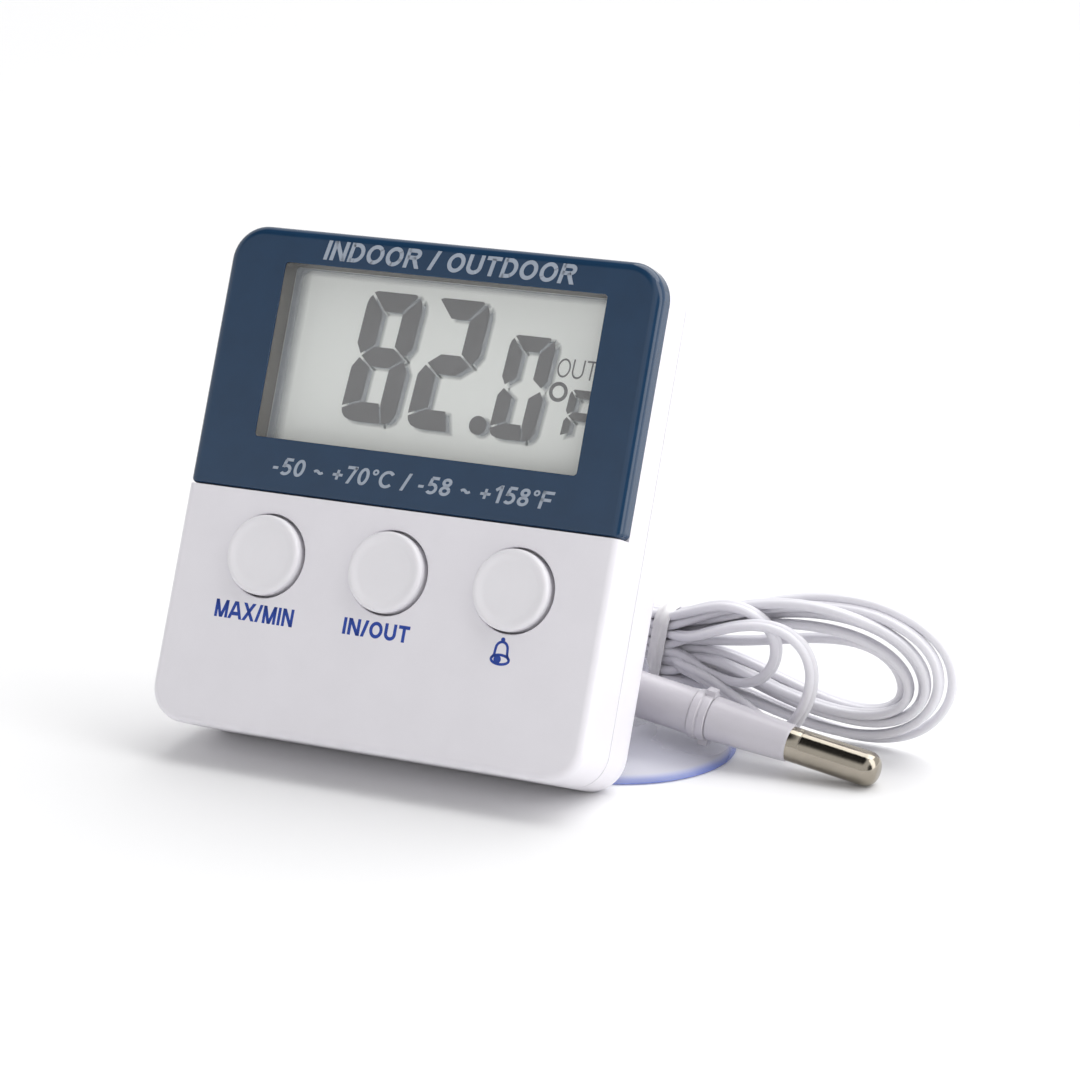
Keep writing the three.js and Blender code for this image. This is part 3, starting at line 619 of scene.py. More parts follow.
def frames(points, twists):
    """For each point of a line, the directions of the lead's width and thickness."""
    count = len(points)
    along = [(points[min(i + 1, count - 1)] - points[max(i - 1, 0)]).normalized() for i in range(count)]
    across = [along[0].orthogonal().normalized()]
    for i in range(1, count):
        turn = along[i - 1].rotation_difference(along[i])
        carried = turn @ across[-1]
        across.append((carried - along[i] * carried.dot(along[i])).normalized())
    wanted, weights = [], []
    for i in range(count):
        target = Vector((0, 1, 0)) - along[i] * along[i].y
        weight = min(max((target.length - 0.45) / 0.3, 0), 1)
        target.normalize()
        target = Matrix.Rotation(math.radians(twists[i]), 3, along[i]) @ target
        side = along[i].cross(across[i])
        wanted.append(math.atan2(target.dot(side), target.dot(across[i])))
        weights.append(weight)
    turned_by = []
    last = wanted[0]
    for i in range(count):
        angle = wanted[i]
        while angle - last > math.pi / 2:
            angle -= math.pi
        while angle - last < -math.pi / 2:
            angle += math.pi
        last = angle * weights[i] + last * (1 - weights[i])
        turned_by.append(last)
    for _ in range(14):
        turned_by = [(turned_by[max(i - 1, 0)] + turned_by[i] * 2 + turned_by[min(i + 1, count - 1)]) / 4
                     for i in range(count)]
    made = []
    for i in range(count):
        side = along[i].cross(across[i])
        wide = across[i] * math.cos(turned_by[i]) + side * math.sin(turned_by[i])
        made.append((wide, along[i].cross(wide)))
    return made


def twin_section():
    """The lead's section: two round cores side by side with a soft groove between them."""
    offset = (LEAD_WIDTH - LEAD_THICK) / 2
    radius = LEAD_THICK / 2
    right = arc((offset, 0), radius, -128, 128, 9)
    left = [(-x, -y) for x, y in right]
    return right + left


def build_lead():
    """The whole lead as one tube along its settled route."""
    route = lead_route()
    given = [p for p, _ in route]
    line = smooth_path(given, LEAD_STEP)
    # the route's points in order, found along the line, carry their twists
    marks, k = [], 0
    for p, twist in route:
        best = min(range(k, min(k + 60, len(line))), key=lambda i: (line[i] - Vector(p)).length)
        marks.append((best, twist))
        k = best
    twists = [0.0] * len(line)
    for (i0, t0), (i1, t1) in zip(marks, marks[1:]):
        for i in range(i0, i1 + 1):
            twists[i] = t0 + (t1 - t0) * (i - i0) / max(i1 - i0, 1)
    rng = random.Random(5)
    wander = [rng.uniform(-14, 14) for _ in range(len(line) // 25 + 2)]
    for i in range(len(line)):
        share = (i % 25) / 25
        twists[i] += wander[i // 25] * (1 - share) + wander[i // 25 + 1] * share
    last = len(line) - 1
    pinned = [min(i, last - i) < ENDS_HELD or abs(p.x - TIE.x) < TIE_HELD for i, p in enumerate(line)]
    line = settle(line, pinned)
    section = twin_section()
    points, faces = [], []
    for p, (wide, thick) in zip(line, frames(line, twists)):
        points += [p + wide * a + thick * b for a, b in section]
    count = len(section)
    for k in range(len(line) - 1):
        for i in range(count):
            j = (i + 1) % count
            faces.append((k * count + i, k * count + j, (k + 1) * count + j, (k + 1) * count + i))
    faces += [tuple(range(count)), tuple(range(len(points) - 1, len(points) - count - 1, -1))]
    made = tidy(mesh_object("lead", points, faces), 1e-5)
    length = sum((b - a).length for a, b in zip(line, line[1:]))
    return made, line, length


camera()
studio()
lead, LEAD_LINE, LEAD_LENGTH = build_lead()
finish_piece(lead, "lead", LEAD_PVC, "case", ["lead_case_run", "lead_hank", "lead_probe_run"],
             ROW, angle=50, weighted=False)


# ---- the case ----------------------------------------------------------------------------------
WINDOW_SHIFT = (0.5, -0.18)  # the frame is printed on the back of the thick lens, so its opening looks moved


def window_outline(grow):
    """The display window's outline, larger by grow all round."""
    x, z, width, height = WINDOW
    x, z = x + WINDOW_SHIFT[0], z + WINDOW_SHIFT[1]
    across, up = width / 2 + grow, height / 2 + grow
    return rounded(x - across, x + across, z - up, z + up, 0.5)


def front_shell():
    outline = rounded(-HALF, HALF, 0, HEIGHT, CORNER, steps=12)
    stations = [(WALL, WALL), (WALL, PARTING), (0.16, PARTING), (0.05, PARTING - 0.05), (0, PARTING - 0.16)]
    body = loft(outline, stations + rounding(0, 1, FRONT_EDGE))
    seat = box(-HALF - 1, HALF + 1, -1, BEZEL_SKIRT + 0.1, BEZEL_BOTTOM - 0.08, HEIGHT + 1)
    plateau = loft(rounded(-HALF + 2, HALF - 2, BEZEL_BOTTOM + 2, HEIGHT - 2, 3),
                   [(0, BEZEL_PLATE + 0.3), (0, WALL + 3)])
    seat = cut(seat, plateau)
    window = loft(window_outline(2.7), [(0, -1), (0, PARTING)])
    places = [side * BUTTON_PITCH + BUTTON_SHIFT for side in (-1, 0, 1)]
    holes = [hole(disc(x, BUTTON_HEIGHT, BUTTON_GAP, 72), WALL + 1, 0, -1, 0.25) for x in places]
    return cut(body, seat, window, *holes)


def bezel():
    outline = rounded(-HALF, HALF, BEZEL_BOTTOM, HEIGHT, CORNER, low_radius=0.9, low_share=0.28, steps=12)
    body = loft(outline, [(0, BEZEL_SKIRT)] + rounding(0, 1, 1.35, 9))
    pocket = loft(rounded(-HALF + WALL, HALF - WALL, BEZEL_BOTTOM + WALL, HEIGHT - WALL, 3.3),
                  [(0, BEZEL_PLATE), (0, BEZEL_SKIRT + 1)])
    thinned = loft(window_outline(1.4), [(0, 0.3), (0, BEZEL_PLATE + 0.2)])
    window = hole(window_outline(0), BEZEL_PLATE + 1, 0, -1, 0.08)
    return cut(body, pocket, thinned, window)


def recess():
    """The brown-grey band between the window and the display."""
    band = loft(window_outline(1.3), [(0, 0.32), (0, GLASS_FACE - 0.1)])
    return cut(band, loft(window_outline(0.01), [(0, 0), (0, GLASS_FACE)]))


def pane():
    return loft(window_outline(-0.05), [(0.1, 0.8), (0, 0.72), (0, 0.43), (0.1, 0.35)])


def button_cap():
    turns = [math.pi / 2 * i / 6 for i in range(7)]
    rim = [(4.9 + 0.56 * math.sin(t), -0.42 - 0.56 * math.cos(t)) for t in turns]
    return turned([(0, -0.78), (3.7, -0.78), (4.0, -0.8), (4.3, -0.86), (4.6, -0.95)] + rim +
                  [(5.46, 2.05), (6.7, 2.05), (6.7, 3), (1.8, 3), (1.8, 6.5), (0, 6.5)], sides=96)


finish_piece(front_shell(), "front_shell", WHITE, "case", ["front_cover"])
finish_piece(bezel(), "bezel", NAVY, "case", ["lens_bezel"])
finish_piece(pane(), "window", PANE, "case", ["window_pane"])
finish_piece(recess(), "recess", DARK, "case", ["lcd_frame"])

BUTTONS = [("max_min_button", "max_min_key"), ("in_out_button", "in_out_key"), ("alarm_button", "alarm_key")]
for i, (node, body) in enumerate(BUTTONS):
    made = button_cap()
    made.data.transform(Matrix.Translation(((i - 1) * BUTTON_PITCH, 0, BUTTON_HEIGHT)))
    finish_piece(made, node.replace("button", "cap"), BUTTON_WHITE, body, [node])


# ---- the display -------------------------------------------------------------------------------
SLANT = math.tan(math.radians(4.4))


def segment_shapes(width, height, stroke, gap):
    """The seven bars of a digit, as outlines with the digit's lower left corner at the origin."""
    w, h, t, g = width, height, stroke, gap
    mid = h / 2
    upper = [(0, mid + 0.62 * t), (0, h - 0.72 * t), (0.07 * t, h - 0.4 * t), (0.2 * t, h - 0.22 * t),
             (t, h - t - g), (t, mid + 0.5 * t + g), (0.32 * t, mid + g)]
    lower_left = [(0, 0.62 * t + g), (0, mid - 0.62 * t), (0.32 * t, mid - g), (t, mid - 0.5 * t - g),
                  (t, t + g)]
    lower_right = [(w, mid - 0.62 * t), (w - 0.32 * t, mid - g), (w - t, mid - 0.5 * t - g), (w - t, t),
                   (w - 0.8 * t + g, 0), (w - 0.45 * t, 0.03 * t), (w - 0.2 * t, 0.2 * t),
                   (w - 0.03 * t, 0.55 * t)]
    return {
        "a": [(0.16 * t + g, h - 0.08 * t), (0.36 * t + g, h), (w - 0.5 * t, h),
              (w - 0.3 * t - g, h - 0.1 * t), (w - t - g, h - t), (t + g, h - t)],
        "f": upper,
        "b": [(w - x, z) for x, z in upper],
        "e": lower_left,
        "c": lower_right,
        "d": [(0.03 * t, 0.6 * t), (0.1 * t, 0.36 * t), (0.3 * t, 0.14 * t), (0.6 * t, 0.03 * t),
              (0.9 * t, 0), (w - 0.8 * t, 0), (w - 1.1 * t, t), (t, t)],
        "g": [(0.32 * t + g * 0.8, mid), (t + 0.1, mid + 0.5 * t), (w - t - 0.1, mid + 0.5 * t),
              (w - 0.32 * t - g * 0.8, mid), (w - t - 0.1, mid - 0.5 * t), (t + 0.1, mid - 0.5 * t)],
    }


def flat_plate(name, shapes, face, thick):
    """Thin closed plates from outlines, with their face at that depth."""
    points, faces = [], []
    for shape in shapes:
        start, count = len(points), len(shape)
        points += [(x, face, z) for x, z in shape] + [(x, face + thick, z) for x, z in shape]
        faces.append(tuple(range(start, start + count)))
        faces.append(tuple(range(start + 2 * count - 1, start + count - 1, -1)))
        for i in range(count):
            j = (i + 1) % count
            faces.append((start + i, start + count + i, start + count + j, start + j))
    return tidy(mesh_object(name, points, faces), 1e-6)


def grown(shape, by):
    """An outline moved outwards by a distance, corner by corner."""
    area = sum(a[0] * b[1] - b[0] * a[1] for a, b in zip(shape, shape[1:] + shape[:1]))
    sign = 1 if area > 0 else -1
    made = []
    count = len(shape)
    for i in range(count):
        before, here, after = Vector(shape[i - 1]), Vector(shape[i]), Vector(shape[(i + 1) % count])
        one, two = (here - before).normalized(), (after - here).normalized()
        n1, n2 = Vector((one.y, -one.x)) * sign, Vector((two.y, -two.x)) * sign
        both = n1 + n2
        length = max(both.length_squared / 2, 0.6)
        made.append(tuple(here + both * (by / length)))
    return made


def soft_shadow(name, shapes, shift, face, spread, strength):
    """Flat patches that fade at their edges."""
    points, faces, values = [], [], []
    for shape in shapes:
        moved = [(x + shift[0], z + shift[1]) for x, z in shape]
        inner, outer = grown(moved, -spread), grown(moved, spread)
        start, count = len(points), len(shape)
        points += [(x, face, z) for x, z in inner + outer]
        values += [strength] * count + [0.0] * count
        faces.append(tuple(range(start, start + count)))
        for i in range(count):
            j = (i + 1) % count
            faces.append((start + i, start + j, start + count + j, start + count + i))
    made = mesh_object(name, points, faces)
    made.data.attributes.new("strength", "FLOAT", "POINT").data.foreach_set("value", values)
    return made


def digit(x, z, width, height, stroke, gap, lit):
    """The lit bars of a digit, slanted as the display's are."""
    shapes = segment_shapes(width, height, stroke, gap)
    return [[(x + px + (pz - height / 2) * SLANT, z + pz) for px, pz in shapes[key]] for key in lit]


def ring_shape(x, z, outer, inner):
    """A ring as quads, each an outline of its own."""
    steps = 32
    out, inside = arc((x, z), outer, 0, 360, steps), arc((x, z), inner, 0, 360, steps)
    return [[out[i], out[i + 1], inside[i + 1], inside[i]] for i in range(steps)]


DISPLAY_LOW = 44.05
display_bars = (
    digit(-12.5, DISPLAY_LOW, 8.45, 18.0, 2.7, 0.27, "abcdefg")
    + digit(-2.35, DISPLAY_LOW, 8.45, 18.0, 2.7, 0.27, "abged")
    + digit(9.95, DISPLAY_LOW, 6.7, 14.1, 2.1, 0.24, "abcdef")
    + digit(20.1, 44.6, 4.6, 7.1, 1.1, 0.2, "afge")
    + [arc((7.75, 45.45), 1.28, 0, 350, 35)]
)
degree = ring_shape(18.6, 51.15, 1.35, 0.85)


def stroke(points, width, closed=False):
    """Quads along a line, each an outline of its own."""
    points = [Vector(p) for p in points]
    count = len(points)
    sides = []
    for i in range(count):
        before = points[i - 1] if closed or i else points[0]
        after = points[(i + 1) % count] if closed or i + 1 < count else points[-1]
        along = (after - before).normalized()
        normal = Vector((-along.y, along.x)) * width / 2
        sides.append((tuple(points[i] + normal), tuple(points[i] - normal)))
    last = count if closed else count - 1
    ends = [(sides[i], sides[(i + 1) % count]) for i in range(last)]
    return [[one[0], two[0], two[1], one[1]] for one, two in ends]


def ellipse(x, z, across, up, start=0, end=360, steps=28):
    turns = [math.radians(start + (end - start) * i / steps) for i in range(steps + 1)]
    return [(x + across * math.cos(t), z + up * math.sin(t)) for t in turns]


def letter(char, s):
    """A plain block letter one unit high drawn with strokes s wide: its width and its lines."""
    h, top = s / 2, 1 - s / 2
    stem = [(h, 0), (h, 1)]
    wave = [(0.05 + 0.5 * i / 12, 0.42 + 0.07 * math.sin(2 * math.pi * i / 12)) for i in range(13)]
    return {
        "A": (0.88, [[(-0.01, -0.08), (0.44, 1.08)], [(0.89, -0.08), (0.44, 1.08)],
                     [(0.2, 0.3), (0.68, 0.3)]]),
        "C": (0.82, [ellipse(0.44, 0.5, 0.44 - h, 0.5 - h, 42, 318)]),
        "D": (0.8, [stem, [(h, h), (0.34, h)] + ellipse(0.34, 0.5, 0.46 - h, 0.5 - h, -90, 90) + [(h, top)]]),
        "F": (0.66, [stem, [(0, top), (0.66, top)], [(0, 0.5), (0.58, 0.5)]]),
        "I": (s, [stem]),
        "M": (0.98, [stem, [(0.98 - h, 0), (0.98 - h, 1)], [(h - 0.03, 1.1), (0.51, -0.06)],
                     [(1.01 - h, 1.1), (0.47, -0.06)]]),
        "N": (0.82, [stem, [(0.82 - h, 0), (0.82 - h, 1)], [(h - 0.03, 1.06), (0.85 - h, -0.06)]]),
        "O": (0.9, [ellipse(0.45, 0.5, 0.45 - h, 0.5 - h)]),
        "R": (0.82, [stem, [(h, top), (0.48, top)] + ellipse(0.48, 0.72, 0.3 - h, 0.28 - h, 90, -90)
                     + [(h, 0.44 + h)], [(0.42, 0.56), (0.78, -0.06)]]),
        "T": (0.76, [[(0, top), (0.76, top)], [(0.38, 0), (0.38, top)]]),
        "U": (0.8, [[(h, 1), (h, 0.38)] + ellipse(0.4, 0.38, 0.4 - h, 0.38 - h, 180, 360) + [(0.8 - h, 1)]]),
        "X": (0.86, [[(0.02, -0.1), (0.84, 1.1)], [(0.02, 1.1), (0.84, -0.1)]]),
        "/": (0.38, [[(0.03, -0.1), (0.35, 1.1)]]),
        "0": (0.62, [ellipse(0.31, 0.5, 0.31 - h, 0.5 - h)]),
        "1": (0.5, [[(0.36, 0), (0.36, 1)], [(0.08, 0.7), (0.36, 0.94)]]),
        "5": (0.62, [[(0.16, top), (0.58, top)], [(0.2, 1 - s * 0.6), (0.13, 0.46)],
                     ellipse(0.29, 0.33, 0.33 - h, 0.33 - h, 132, -140)]),
        "7": (0.6, [[(0.02, top), (0.6, top)], [(0.53, 0.95), (0.22, -0.05)]]),
        "8": (0.62, [ellipse(0.31, 0.75, 0.27 - h, 0.25 - h), ellipse(0.31, 0.28, 0.31 - h, 0.28 - h)]),
        "-": (0.36, [[(0.03, 0.38), (0.33, 0.38)]]),
        "+": (0.6, [[(0.02, 0.42), (0.58, 0.42)], [(0.3, 0.14), (0.3, 0.7)]]),
        "~": (0.6, [wave]),
        "*": (0.34, [ellipse(0.17, 0.82, 0.12, 0.12)]),
        " ": (0.26, []),
    }[char]


def cropped(shape, low, high):
    """The part of a convex outline between two heights."""
    for sign, limit in ((1, low), (-1, -high)):
        made = []
        for (x0, z0), (x1, z1) in zip(shape, shape[1:] + shape[:1]):
            if sign * z0 >= limit:
                made.append((x0, z0))
            if (sign * z0 - limit) * (sign * z1 - limit) < 0:
                share = (sign * limit - z0) / (z1 - z0)
                made.append((x0 + (x1 - x0) * share, sign * limit))
        shape = made
    return shape


def words(text, x, z, height, width, weight, lean, face):
    """Block lettering from a lower left corner, that high and wide."""
    shapes, along = [], 0
    for char in text:
        room, lines = letter(char, weight)
        thick = weight * (0.62 if char in "*" else 0.9 if char in "~+-" else 1)
        for line in lines:
            closed = len(line) > 9 and line[0] == line[-1] or math.dist(line[0], line[-1]) < 1e-6
            for quad in stroke(line[:-1] if closed else line, thick, closed):
                part = cropped(quad, 0, 1)
                if len(part) > 2:
                    shapes.append([(along + px, pz) for px, pz in part])
        along += room + 0.13
    scale = width / (along - 0.13)
    placed = [[(x + px * scale + pz * height * lean, z + pz * height) for px, pz in part] for part in shapes]
    return flat_plate("words", placed, face, 0.012)


def fading(columns, rows, strengths):
    """A flat grid on the display whose points carry a shade's strength."""
    points = [(x, SHADE_FACE, z) for z in rows for x in columns]
    wide = len(columns)
    faces = [(r * wide + c, r * wide + c + 1, (r + 1) * wide + c + 1, (r + 1) * wide + c)
             for r in range(len(rows) - 1) for c in range(wide - 1)]
    made = mesh_object("fading", points, faces)
    values = [strengths(x, z) for z in rows for x in columns]
    made.data.attributes.new("strength", "FLOAT", "POINT").data.foreach_set("value", values)
    return made


FILM_FACE = GLASS_FACE - 0.08
SHADE_FACE = FILM_FACE - 0.006
INK_FACE = FILM_FACE - 0.04
film = loft(window_outline(0.3), [(0, FILM_FACE), (0, FILM_FACE + 0.04), (0.02, FILM_FACE + 0.06)])
finish_piece(film, "lcd_film", LCD_GROUND, "case")
finish_piece(flat_plate("ink", display_bars + degree, INK_FACE, 0.025), "lcd_segments", LCD_INK,
             "case", weighted=False)
shadow = soft_shadow("shade", display_bars, (0.8, -0.3), SHADE_FACE - 0.004, 0.3, 0.55)
finish_piece(shadow, "lcd_shadow", LCD_SHADE, "case", weighted=False)
finish_piece(words("OUT", 17.8, 53.1, 2.6, 5.75, 0.1, 0.06, INK_FACE), "lcd_word", LCD_INK,
             "case", weighted=False)


window_left = WINDOW[0] + WINDOW_SHIFT[0] - WINDOW[2] / 2
window_right = window_left + WINDOW[2]
window_low = WINDOW[1] + WINDOW_SHIFT[1] - WINDOW[3] / 2
window_high = window_low + WINDOW[3]


def wall_shade(x, z):
    """Shade of the recess's left and upper walls on the display."""
    left = max(0.0, 1 - (x - window_left - 0.2) / 2.6)
    above = max(0.0, 1 - (window_high - z - 0.1) / 1.1)
    return min(1.0, 0.9 * left ** 1.3 + 0.55 * above ** 1.5)


finish_piece(fading([window_left + 0.02 + 0.24 * i for i in range(12)] + [window_right - 0.02],
                    [window_low + 0.02] + [window_high - 1.4 + 0.138 * i for i in range(11)], wall_shade),
             "lcd_wall_shade", LCD_SHADE, "case", weighted=False)

PRINT_FACE = -0.012
PRINTS = [
    ("print_title", "INDOOR / OUTDOOR", (-18.0, 65.0), 2.7, 37.6, 0.2, 0.2, PRINT_PALE, "bezel"),
    ("print_range", "-50 ~ +70*C / -58 ~ +158*F", (-20.1, 35.1), 2.4, 42.0, 0.17, 0.2, PRINT_PALE, "bezel"),
    ("print_max_min", "MAX/MIN", (-24.75, 14.9), 2.4, 12.1, 0.21, 0, PRINT_BLUE, "shell"),
    ("print_in_out", "IN/OUT", (-5.0, 15.1), 2.25, 9.95, 0.21, 0, PRINT_BLUE, "shell"),
]
for name, text, (x, z), height, width, weight, lean, finish, slot in PRINTS:
    finish_piece(words(text, x, z, height, width, weight, lean, PRINT_FACE), name, finish, "case",
                 weighted=False)


def bell_print(x, z, width, height):
    """A plain bell: a dome on an open oval mouth, with a small knob on top."""
    half = width / 2
    dome = ([(x - half * 0.95, z + height * 0.2), (x - half * 0.72, z + height * 0.34)]
            + ellipse(x, z + height * 0.56, half * 0.66, height * 0.26, 176, 4, 14)
            + [(x + half * 0.72, z + height * 0.34), (x + half * 0.95, z + height * 0.2)])
    oval = ellipse(x, z + height * 0.17, half, height * 0.17, 0, 350, 35)
    knob = ellipse(x, z + height * 0.9, width * 0.12, width * 0.12, 0, 342, 19)
    clapper = ellipse(x - half * 0.3, z + height * 0.17, half * 0.42, height * 0.15, 0, 342, 19)
    shapes = stroke(dome, 0.36) + stroke(oval, 0.36, True) + [knob, clapper]
    return flat_plate("bell", shapes, PRINT_FACE, 0.012)


finish_piece(bell_print(18.6, 14.2, 2.6, 3.6), "print_bell", PRINT_BLUE, "case", weighted=False)


# ---- the back of the case ------------------------------------------------------------------------
def bevelled(made, width=0.25, segments=3):
    return modified(made, "BEVEL", width=width, segments=segments, limit_method="ANGLE")


def slab(shape, y0, y1):
    """A flat piece from an outline in x and z."""
    points = [(x, y, z) for y in (y0, y1) for x, z in shape]
    count = len(shape)
    faces = [tuple(range(count)), tuple(range(2 * count - 1, count - 1, -1))]
    faces += [(i, (i + 1) % count, count + (i + 1) % count, count + i) for i in range(count)]
    return tidy(mesh_object("part", points, faces))


def sector(radius, at, spread, y0, y1):
    """A sector round the battery's axis."""
    shape = [(CELL.x, CELL.z)] + arc((CELL.x, CELL.z), radius, at - spread, at + spread, 10)
    return slab(shape, y0, y1)


BAY_SILL = 1.2  # the leg's bay is closed below this height


def keyhole():
    """Cutters for the hanging hole: a head hole with a narrow slot above it, undercut behind the skin."""
    k = KEYHOLE
    floor, top = DEPTH - k["deep"], k["z"] + k["rise"]
    return [
        hole(disc(0, k["z"], k["head"], 64), floor, DEPTH, 1, 0.25),
        hole(rounded(-k["neck"], k["neck"], k["z"], top + k["neck"], k["neck"]), floor, DEPTH, 1, 0.25),
        box(-k["head"], k["head"], floor, DEPTH - 1.3, k["z"], top),
    ]


def back_shell():
    outline = rounded(-HALF, HALF, 0, HEIGHT, CORNER, steps=12)
    inner, joint = DEPTH - WALL, PARTING + 0.12
    stations = [(WALL, inner), (WALL, joint), (0.16, joint), (0.05, joint + 0.05), (0, joint + 0.16)]
    body = loft(outline, stations + rounding(DEPTH, -1, BACK_EDGE, 10))
    bay = LEG_WIDTH / 2 + 0.4
    blocks = [
        box(-bay - 2.2, bay + 2.2, HINGE[0] - 2.6, inner + 0.5, 1.2, HINGE[1] + 4.2),
        loft(disc(CELL.x, CELL.z, 10.8, 64), [(0, inner - 1.6), (0, inner + 0.5)]),
        loft(disc(*BUZZER, 8, 48), [(0, inner - 0.6), (0, inner + 0.5)]),
        box(-6, 6, DEPTH - 4.6, inner + 0.5, KEYHOLE["z"] - 5, KEYHOLE["z"] + 8.3),
    ]
    blocks += [loft(disc(x, z, 2.6, 40), [(0, PARTING + 0.4), (0, inner + 0.5)]) for x, z in SCREWS]
    body = join(body, *blocks)
    floor = DEPTH - 1.6
    cutters = [
        loft(rounded(-bay, bay, BAY_SILL, HINGE[1] + 2.2, 0.8), [(0, HINGE[0] - 1.3)] + mouth(DEPTH, 1, 0.3)),
        loft(disc(CELL.x, CELL.z, 6.1, 64), [(0, 12), (0, DEPTH + 1)]),
        hole(disc(CELL.x, CELL.z, 8.22, 96), floor, DEPTH, 1, 0.15),
        loft(disc(CELL.x, CELL.z, 9.3, 64), [(0, floor), (0, floor + 1.05)]),
        sector(9.3, -40, 17, floor, DEPTH + 1),
        sector(9.3, 140, 17, floor, DEPTH + 1),
        hole(rounded(SWITCH[0] - 1.7, SWITCH[0] + 1.7, SWITCH[1] - 2.9, SWITCH[1] + 2.9, 0.5),
             inner - 1, DEPTH, 1),
        hole(disc(*LEAD_EXIT, 2.05), inner - 1, DEPTH, 1, 0.1),
    ] + keyhole()
    for x, z in SCREWS:
        cutters.append(loft(disc(x, z, 1.3, 24), [(0, PARTING), (0, DEPTH + 1)]))
        cutters.append(hole(disc(x, z, 2.3, 48), DEPTH - 3.2, DEPTH, 1, 0.2))
    for row in range(5):
        z = VENT[1] + (row - 2) * 3
        slit = rounded(VENT[0] - 6, VENT[0] + 6, z - 0.6, z + 0.6, 0.58)
        cutters.append(hole(slit, inner - 1, DEPTH, 1, 0.15))
    holes = [BUZZER] + [(BUZZER[0] + 3 * math.cos(t), BUZZER[1] + 3 * math.sin(t))
                        for t in [math.pi / 3 * i for i in range(6)]]
    cutters += [hole(disc(x, z, 0.7, 24), inner - 2, DEPTH, 1, 0.15) for x, z in holes]
    return cut(body, *cutters)


def battery_lid():
    """The round cap with a coin's slot and two lugs."""
    inside = DEPTH - 1.3
    body = loft(disc(CELL.x, CELL.z, 8, 96), [(0, inside)] + rounding(DEPTH, -1, 0.25, 4))
    lugs = [sector(9, at, 14, inside, inside + 0.5) for at in (0, 180)]
    coin = rounded(CELL.x - 5.5, CELL.x + 5.5, CELL.z - 0.9, CELL.z + 0.9, 0.85)
    slot = hole(coin, DEPTH - 0.7, DEPTH, 1, 0.15)
    return cut(join(body, *lugs), slot)


def cross_screw(x, z):
    """A case screw with a cross recess, deep in its counterbore."""
    made = turned([(0, -8.4), (1.1, -8.4), (1.25, -8), (1.25, 0), (2, 0), (2, 0.3), (1.8, 0.5), (1.4, 0.6),
                   (0, 0.62)], sides=40)
    arms = [box(-1.2, 1.2, 0.25, 1.6, -0.25, 0.25), box(-0.25, 0.25, 0.25, 1.6, -1.2, 1.2)]
    made = cut(made, *arms)
    made.data.transform(Matrix.Translation((x, DEPTH - 3.1, z)))
    return made


def strain_relief():
    """A tapered, ribbed sleeve that the lead leaves the case through."""
    profile = [(0, -2.4), (2.85, -2.4), (2.9, -2.3), (2.9, -1.95), (1.9, -1.9), (1.9, 0.15), (2.4, 0.2),
               (2.5, 0.35), (2.5, 1.0), (2.4, 1.2)]
    for rib in range(5):
        y, radius = 1.35 + rib, 2.3 - 0.13 * rib
        profile += [(radius - 0.3, y), (radius - 0.3, y + 0.25), (radius, y + 0.4), (radius - 0.04, y + 0.85)]
    profile += [(1.62, 6.42), (1.5, 6.5), (0, 6.5)]
    made = turned(profile, sides=48)
    made.data.transform(Matrix.Translation((LEAD_EXIT[0], DEPTH, LEAD_EXIT[1])))
    return made


def switch_knob():
    low = SWITCH[1] - 1
    base = box(-1.3, 1.3, 13.6, 14.9, low - 1.3, low + 1.3)
    tab = bevelled(box(-1, 1, 14.7, DEPTH - 0.2, low - 1, low + 1), 0.15)
    made = join(base, tab)
    grooves = [box(-2, 2, DEPTH - 0.42, DEPTH, low + at - 0.12, low + at + 0.12) for at in (-0.5, 0, 0.5)]
    made = cut(made, *grooves)
    made.data.transform(Matrix.Translation((SWITCH[0], 0, 0)))
    return made


finish_piece(back_shell(), "back_shell", WHITE, "case", ["back_cover"])
finish_piece(battery_lid(), "battery_lid", WHITE, "battery_lid", ["battery_cap"])
finish_piece(strain_relief(), "strain_relief", LEAD_PVC, "case", ["lead_strain_relief"])
finish_piece(switch_knob(), "switch_knob", BLACK_RESIN, "unit_switch", ["unit_switch_knob"])
for i, (x, z) in enumerate(SCREWS):
    finish_piece(cross_screw(x, z), f"screw_{i + 1}", STEEL, "case", [f"case_screw_{i + 1}"])


# ---- the leg, open and cut level with the table ----------------------------------------------------
def stand_leg(drop):
    """The leg, hung from its pin at the origin, that high above the table."""
    reach = drop / math.cos(LEG_SLOPE)
    half = LEG_WIDTH / 2
    blade = slab([(-half, 0.6), (-half, -reach * 0.5), (-half + 1.2, -reach - 1), (half - 1.2, -reach - 1),
                  (half, -reach * 0.5), (half, 0.6)], -LEG_THICK / 2, LEG_THICK / 2)
    blade = bevelled(blade, 0.35)
    pocket = hole(rounded(-3.6, 3.6, -reach + 5, -6, 1.5), 0.3, LEG_THICK / 2, 1, 0.2)
    pin = turned([(0, -7.9), (0.9, -7.9), (1.1, -7.7), (1.1, 7.7), (0.9, 7.9), (0, 7.9)], sides=40)
    pin.data.transform(Matrix.Rotation(math.pi / 2, 4, "Z"))
    made = join(cut(blade, pocket), pin)
    made.data.transform(Matrix.Rotation(LEG_SLOPE, 4, "X"))
    return cut(made, box(-20, 20, -20, 40, -drop - 20, -drop))


pin_at = CASE @ Vector((0, HINGE[0], HINGE[1]))
finish_piece(stand_leg(pin_at.z / MM), "leg", WHITE, "stand", ["stand_leg"],
             Matrix.Translation(pin_at) @ ROW)


# ---- the probe, along +Y with the origin over the middle of the cup --------------------------------
PROBE = (ROW @ Matrix.Translation(CUP + Vector((0, 0, PROBE_AT_CUP))) @ Matrix.Rotation(PROBE_FALL, 4, "Y")
         @ Matrix.Rotation(-math.pi / 2, 4, "Z"))


